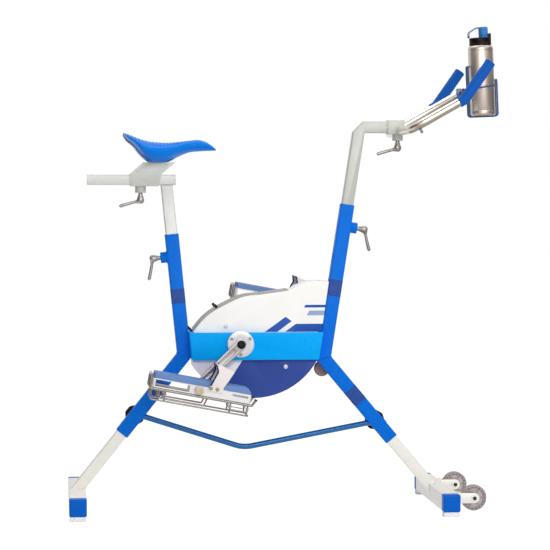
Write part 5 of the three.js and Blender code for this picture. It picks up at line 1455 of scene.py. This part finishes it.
for label, side in both_sides:
    copy_of(f"{label}_shell", f"{label}_housing_shell", shell_white, 1.4, 3, angle=42)
    # A grey strip over the whole top of each shell: painted shade where the top faces away from the light.
    rim = [p + vec(0, side * 25.5, 0) for p in rim_path]
    fit(f"{label}_rim_strip", sweep(rim, 1.0, section=rounded_square(50, 4.4, 1.8)), cover_grey_and_top_shade, f"{label}_shell")
    for k, (x, z, turn) in enumerate(((-279, 528.4, 48), (-206, 597.5, 32))):
        c, s = math.cos(turn * degree), math.sin(turn * degree)
        outline = [(x + a * c - b * s, z + a * s + b * c) for a, b in ((-4, -6), (4, -6), (4, 5), (-4, 5))]
        fit(f"{label}_rim_clip_{k}", prism(outline, *sorted((side * 44, side * 51.5))), knob_black,
            f"{label}_shell", 0.8, 2)
    for k, (x, z) in enumerate(((-176, 538), (0, 419))):
        fit(f"{label}_shell_bolt_{k}", turned([(0, 0), (5.6, 0), (6.2, 0.5), (6.2, 1.1), (5, 2.0), (3, 2.4),
                                               (2.4, 1.6), (0, 1.6)], vec(x, side * 49.9, z), vec(0, side, 0), 32),
            bearing_metal, f"{label}_shell")
    face = side * (beam_half + gap)
    centre = vec(crank_x, face, crank_z)
    add(f"{label}_bearing_flange", turned([
        (10.4, -15), (15.6, -15), (16, -14), (16, 0), (38, 0), (39, 0.9), (39, 7.4), (38.4, 8.6), (37.2, 9),
        (25.5, 9), (24.9, 8.3), (24, 8.3), (23.4, 9), (19, 9), (18.4, 8.2), (10.4, 8.2), (10.4, -15)],
        centre, vec(0, side, 0), 72), bearing_metal, f"{label}_bearing")
    bolts(f"{label}_bearing_bolts", bolt_steel, f"{label}_bearing",
          axes_at(centre + vec(0, side * bearing_thick, 0), (0, 0, -1), (-side, 0, 0), (0, side, 0)),
          3.6, 2.4, count=3, circle=31)
    inner = beam_half + gap + bearing_thick + 2.5 + 1.5
    pin = crank_end(side) * vec(1, 0, 1)
    outline = link_outline((crank_x, crank_z), (pin[0], pin[2]), 15, 12)
    outer = inner + arm_thick
    arm = raw_object(f"{label}_crank_arm", prism(outline, *sorted((side * inner, side * outer))))
    toward = unit(pin - vec(crank_x, 0, crank_z))
    slot_start = vec(crank_x, 0, crank_z) + toward * 32
    slot_end = pin - toward * 30
    slot_outline = link_outline((slot_start[0], slot_start[2]), (slot_end[0], slot_end[2]), 6.5, 5)
    slot = prism(slot_outline, *sorted((side * (inner + 9.6), side * (inner + 20))))
    bore = turned([(0, -20), (10.3, -20), (10.3, arm_thick), (0, arm_thick)], vec(crank_x, side * inner, crank_z),
                  vec(0, side, 0))
    carve(arm, [slot, bore])
    soften(arm, 1.8, 3)
    dress(arm, crank_metal, f"{label}_crank")
    fit(f"{label}_crank_cap", turned([
        (0, 0.05), (12.3, 0.05), (12.5, 0.6), (12.5, 4.2), (11.6, 5.5), (10, 6), (5.4, 6), (5.0, 3.6), (0, 3.6)],
        vec(crank_x, side * outer, crank_z), vec(0, side, 0), 48), knob_black, f"{label}_crank")
    fit(f"{label}_crank_screw", turned([(0, 3.6), (3.8, 3.6), (3.8, 4.6), (3.1, 5.2), (1.8, 5.2), (1.6, 4.2),
                                        (0, 4.2)], vec(crank_x, side * outer, crank_z), vec(0, side, 0), 24),
        dark_metal, f"{label}_crank")
    spindle_start, spindle_end = inner + arm_thick / 2, pedal_y + pedal_half + 1.5
    fit(f"{label}_spindle", turned([(0, spindle_start), (6.5, spindle_start), (6.5, spindle_end + 2),
                                    (0, spindle_end + 2)], pin, vec(0, side, 0), 32), lever_metal,
        f"{label}_crank")
    fit(f"{label}_spindle_knob", turned([(radius, spindle_end + rise) for radius, rise in (
        (0, 0), (12, 0), (13, 1), (13, 4), (12.2, 4.6), (12.2, 5.4), (13, 6), (13, 9), (11.5, 10.6), (8, 11),
        (5, 11), (4.4, 9.6), (0, 9.6))], pin, vec(0, side, 0), 40), knob_beige, f"{label}_crank")

# ---- pedals

pedal_tilt = 10.6 * degree
heel, toe, tray_low, tray_high, tray_wall = -135, 150, -14, 12, 3
pad_thick, pad_half = 16, 53
rail_radius, wire_radius, basket_depth = 4, 2.5, 31
tip_way = vec(0.447, 0, 0.894)
rail_z = tray_low - rail_radius - gap


def pedal_place(side, points):
    """Puts points drawn about the spindle onto a tilted pedal."""
    centre = crank_end(side)
    c, s = math.cos(pedal_tilt), math.sin(pedal_tilt)
    return [centre + vec(p[0] * c + p[2] * s, p[1], -p[0] * s + p[2] * c) for p in points]


def on_pedal(side, shape):
    return pedal_place(side, shape[0]), shape[1]


def plan_stack(levels):
    """A closed body from rounded plan outlines at heights: (x0, x1, half width, corner, z)."""
    return lofted([[vec((x0 + x1) / 2 + u, v, z) for u, v in rounded_square(x1 - x0, 2 * half, corner, 6)]
                   for x0, x1, half, corner, z in levels])


for label, side in both_sides:
    node = f"{label}_pedal_tray"
    tray = raw_object(f"{label}_pedal_tray_body", on_pedal(side, plan_stack([
        (heel + 0.8, toe - 0.8, pedal_half - 0.8, 7, tray_low), (heel, toe, pedal_half, 8, tray_low + 0.8),
        (heel, toe, pedal_half, 8, tray_high - 1.2), (heel + 1.2, toe - 1.2, pedal_half - 1.2, 7, tray_high)])))
    hollow = plan_stack([(heel + tray_wall, toe - tray_wall, pedal_half - tray_wall, 5, z)
                         for z in (tray_low - 6, tray_high - tray_wall)])
    bore = turned([(0, -80), (7.2, -80), (7.2, 80), (0, 80)], vec(0, 0, 0), sideways, 32)
    windows = [box(heel + 8, -28, -60, 60, tray_low + 4, tray_high - 3), box(96, 142, -60, 60, 0, 6),
               box(heel - 5, heel + 8, 8 - pedal_half, pedal_half - 8, tray_low + 4, tray_high - 3)]
    carve(tray, [on_pedal(side, cutter) for cutter in (hollow, bore, *windows)])
    soften(tray, 0.5, 2)
    dress(tray, tray_white, node)
    pad_top = tray_high + pad_thick
    pad_rings = [(heel + at_heel, toe - at_toe, pad_half - drawn_in, corner, z)
                 for at_heel, at_toe, drawn_in, corner, z in (
                     (2.6, 2.6, 0.6, 6, tray_high + 0.05), (2, 2, 0, 6.5, tray_high + 0.8),
                     (2, 2, 0, 6.5, pad_top - 11), (2, 5, 0, 6.5, pad_top - 7), (2.2, 8, 0.2, 6.5, pad_top - 3),
                     (2.8, 10, 0.8, 6.5, pad_top - 1), (4.4, 11.6, 2.4, 6, pad_top - 0.2),
                     (6.4, 13, 4.4, 5.6, pad_top - 0.2))]
    fit(f"{label}_pedal_pad", on_pedal(side, plan_stack(pad_rings)), pedal_blue, node)
    c, s = math.cos(pedal_tilt), math.sin(pedal_tilt)
    origin = pedal_place(side, [vec(heel + 16, 0, pad_top - 0.9)])[0]
    ribs(f"{label}_pedal_pad_ribs", pedal_blue, node, axes_at(origin, (c, 0, -s), (-s, 0, -c), (0, 1, 0)),
         count=26, pitch=9.6, length=90, half_width=2.2, rise=0.5)

    y = pedal_half - 4
    heel_x, toe_x = heel - rail_radius - 2, toe + rail_radius + 2
    low_z = rail_z - basket_depth
    half_hoop = [(toe_x + 10, rail_z + 20), (toe_x, rail_z), (heel_x, rail_z), (heel_x, 20)]
    hoop = bent([vec(x, -y, z) for x, z in half_hoop] + [vec(x, y, z) for x, z in reversed(half_hoop)], 6, 6)
    half_basket = [(heel, rail_z), (heel, low_z), (toe, low_z)]
    basket = bent([vec(x, -y, z) for x, z in half_basket] + [vec(x, y, z) for x, z in reversed(half_basket)],
                  6, 6)
    wires = [sweep(hoop, rail_radius, 18), sweep(basket, wire_radius, wire_sides)]
    for hand in (-1, 1):
        for place in (-112, -94, 95, 145):
            wires.append(sweep([vec(place, hand * y, rail_z), vec(place, hand * y, low_z)], wire_radius,
                               wire_sides))
        wires.append(sweep(bent([vec(-112, hand * y, low_z + 7), vec(20, hand * y, low_z + 7),
                                 vec(27, hand * y, rail_z)], 4, 6), wire_radius, wire_sides))
    add(f"{label}_pedal_wires", on_pedal(side, merged(*wires)), wire_steel, f"{label}_pedal_frame")
    clips = []
    for hand in (-1, 1):
        for place in (95, 145, -94):
            clips.append(sweep([vec(place, hand * y, rail_z - 9), vec(place, hand * y, rail_z - 17)], 4.2, 16))
        clips.append(sweep([vec(95, hand * y, rail_z - 20), vec(145, hand * y, rail_z - 20)], 1.6, 10))
    fit(f"{label}_pedal_latch", on_pedal(side, merged(*clips)), lever_metal, f"{label}_pedal_frame")
    tips = []
    for hand in (-1, 1):
        tips.append(turned([(0, -0.2), (4.5, -0.2), (4.7, 0.6), (4.7, 3.2), (3.6, 4.4), (0, 4.4)],
                           vec(toe_x + 10, hand * y, rail_z + 20) - tip_way * 4.2, tip_way, 20))
    fit(f"{label}_pedal_rail_tips", on_pedal(side, merged(*tips)), dark_metal, f"{label}_pedal_frame")

    node = f"{label}_pedal_strap"
    half = pedal_half + gap
    outer_half = half + 4.4
    side_outline = [(22, 2), (67, 2), (67, 18), (90, 68), (36, 78), (42, 60)]
    strap = raw_object(f"{label}_instep_strap", prism(side_outline, -outer_half, outer_half))
    carve(strap, [prism([(0, -10), (120, -10), (120, 58.04), (0, 80.27)], -half, half)])
    soften(strap, 1.7, 4)
    turn = Matrix.Rotation(pedal_tilt, 4, "Y")
    from_spindle = Matrix.Translation(Vector(-to_frame([[0, 0, 0]])[0]))
    onto_crank = Matrix.Translation(Vector(to_frame([crank_end(side)])[0]))
    strap.data.transform(onto_crank @ turn @ from_spindle)
    smooth(strap)
    dress(strap, strap_white, node)
    edge_outline = [(27.2, 18), (41.5, 60), (35.7, 78.4), (39.8, 77.7), (46, 60), (31.8, 18)]
    edging = raw_object(f"{label}_strap_edging", prism(edge_outline, -outer_half - 0.3, outer_half + 0.3))
    carve(edging, [prism([(0, -10), (120, -10), (120, 57.4), (0, 79.7)], -half + 0.5, half - 0.5)])
    soften(edging, 0.5, 2)
    edging.data.transform(onto_crank @ turn @ from_spindle)
    dress(edging, navy, node, replace=False)
    for face, hand in both_sides:
        for k, place in enumerate((31, 50)):
            head = pedal_place(side, [vec(place, hand * outer_half, 11)])[0]
            bolts(f"{label}_strap_bolt_{face}_{k}", bolt_steel, node,
                  axes_at(head, (1, 0, 0), (0, 0, -hand), (0, hand, 0)), 4.2, 2.2, corners=20)

# ---- stage, camera and light

# The floor and the backdrop show near white to the camera, to reflections and through what is clear, and
# light the bike less.
floor_reach, floor_glow, glow_share = 30, 1.37, 0.66
world_light, world_lift, reflected_lift = 0.43, 0.57, 0.45


def flat_board(name, corners):
    """A board on four corners, with a material of its own."""
    mesh = bpy.data.meshes.new(name)
    mesh.from_pydata(corners, [], [(0, 1, 2, 3)])
    look = bpy.data.materials.new(name)
    look.use_nodes = True
    mesh.materials.append(look)
    return new_object(name, mesh), look.node_tree


floor, tree = flat_board("studio_floor", [(-floor_reach, -floor_reach, 0), (floor_reach, -floor_reach, 0),
                                          (floor_reach, floor_reach, 0), (-floor_reach, floor_reach, 0)])
shader = tree.nodes["Principled BSDF"]
for label, value in (("Base Color", (0.86, 0.86, 0.86, 1)), ("Roughness", 0.9), ("Specular IOR Level", 0.0)):
    shader.inputs[label].default_value = value
bright = plain(tree, "ShaderNodeEmission", Color=(1, 1, 1, 1), Strength=floor_glow)
rays = tree.nodes.new("ShaderNodeLightPath").outputs
seen = math_node(tree, "MAXIMUM", math_node(tree, "MAXIMUM", rays["Is Camera Ray"], rays["Is Glossy Ray"]),
                 rays["Is Transmission Ray"])
blend = tree.nodes.new("ShaderNodeMixShader")
link(tree, product(tree, seen, glow_share), blend.inputs[0])
link(tree, shader.outputs[0], blend.inputs[1])
link(tree, bright.outputs[0], blend.inputs[2])
link(tree, blend.outputs[0], tree.nodes["Material Output"].inputs["Surface"])
floor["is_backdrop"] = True

world = bpy.data.worlds.new("studio")
bpy.context.scene.world = world
world.use_nodes = True
tree = world.node_tree
backdrop = tree.nodes["Background"]
backdrop.inputs["Color"].default_value = (1, 1, 1, 1)
rays = tree.nodes.new("ShaderNodeLightPath").outputs
seen = math_node(tree, "MAXIMUM", rays["Is Camera Ray"], rays["Is Transmission Ray"])
lift = math_node(tree, "MULTIPLY_ADD", seen, world_lift, world_light)
shine = math_node(tree, "MULTIPLY_ADD", rays["Is Glossy Ray"], reflected_lift, lift)
link(tree, shine, backdrop.inputs["Strength"])


def softbox(name, place, aim, size, power):
    lamp = bpy.data.lights.new(name, "AREA")
    lamp.shape = "RECTANGLE"
    lamp.size, lamp.size_y = size
    lamp.energy = power
    made = new_object(name, lamp)
    made.location = place
    made.rotation_mode = "QUATERNION"
    made.rotation_quaternion = (Vector(aim) - Vector(place)).to_track_quat("-Z", "Y")


softbox("front_softbox", (0.5, -4.6, 2.5), (0, 0, 0.7), (2.6, 2.0), 82)
softbox("side_softbox", (3.6, -1.8, 2.4), (0, 0, 0.8), (1.8, 2.2), 36)
softbox("top_softbox", (0.0, 0.6, 4.2), (0, 0, 0.6), (3.0, 2.2), 50)


def dark_card(name, corners, colour):
    """A dark board beside the bike that only reflections see."""
    card, tree = flat_board(name, corners)
    tree.nodes["Principled BSDF"].inputs["Base Color"].default_value = (*colour, 1)
    card.visible_camera = card.visible_diffuse = card.visible_shadow = card.visible_transmission = False
    card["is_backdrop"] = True


for name, x in (("rear_dark_card", -2.4), ("front_dark_card", 2.6)):
    dark_card(name, [(x, -3.2, 0.2), (x, 1.4, 0.2), (x, 1.4, 2.6), (x, -3.2, 2.6)], (0.03, 0.025, 0.022))
for name, x0, x1, y0, y1, z, colour in (
        ("warm_floor_card", -1.6, 2.2, -3.4, -0.7, 0.02, (0.36, 0.29, 0.25)),
        ("handlebar_card", 0.1, 1.4, -1.2, 0.6, 0.75, (0.42, 0.36, 0.32)),
        ("ceiling_card", -2.6, 1.6, -2.9, -0.9, 3.2, (0.3, 0.24, 0.18))):
    dark_card(name, [(x0, y0, z), (x1, y0, z), (x1, y1, z), (x0, y1, z)], colour)

# The camera was fitted to the photograph's frame.
camera = bpy.data.cameras.new("camera")
camera.sensor_width = 36
camera.lens = 150.9
camera.clip_start, camera.clip_end = 0.1, 100
viewer = new_object("camera", camera)
viewer.location = (-0.668, -6.766, 0.908)
viewer.rotation_mode = "QUATERNION"
viewer.rotation_quaternion = Vector((0.09406, 0.99503, -0.03263)).to_track_quat("-Z", "Y")
bpy.context.scene.camera = viewer
bpy.context.scene.view_settings.view_transform = "Standard"

low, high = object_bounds()
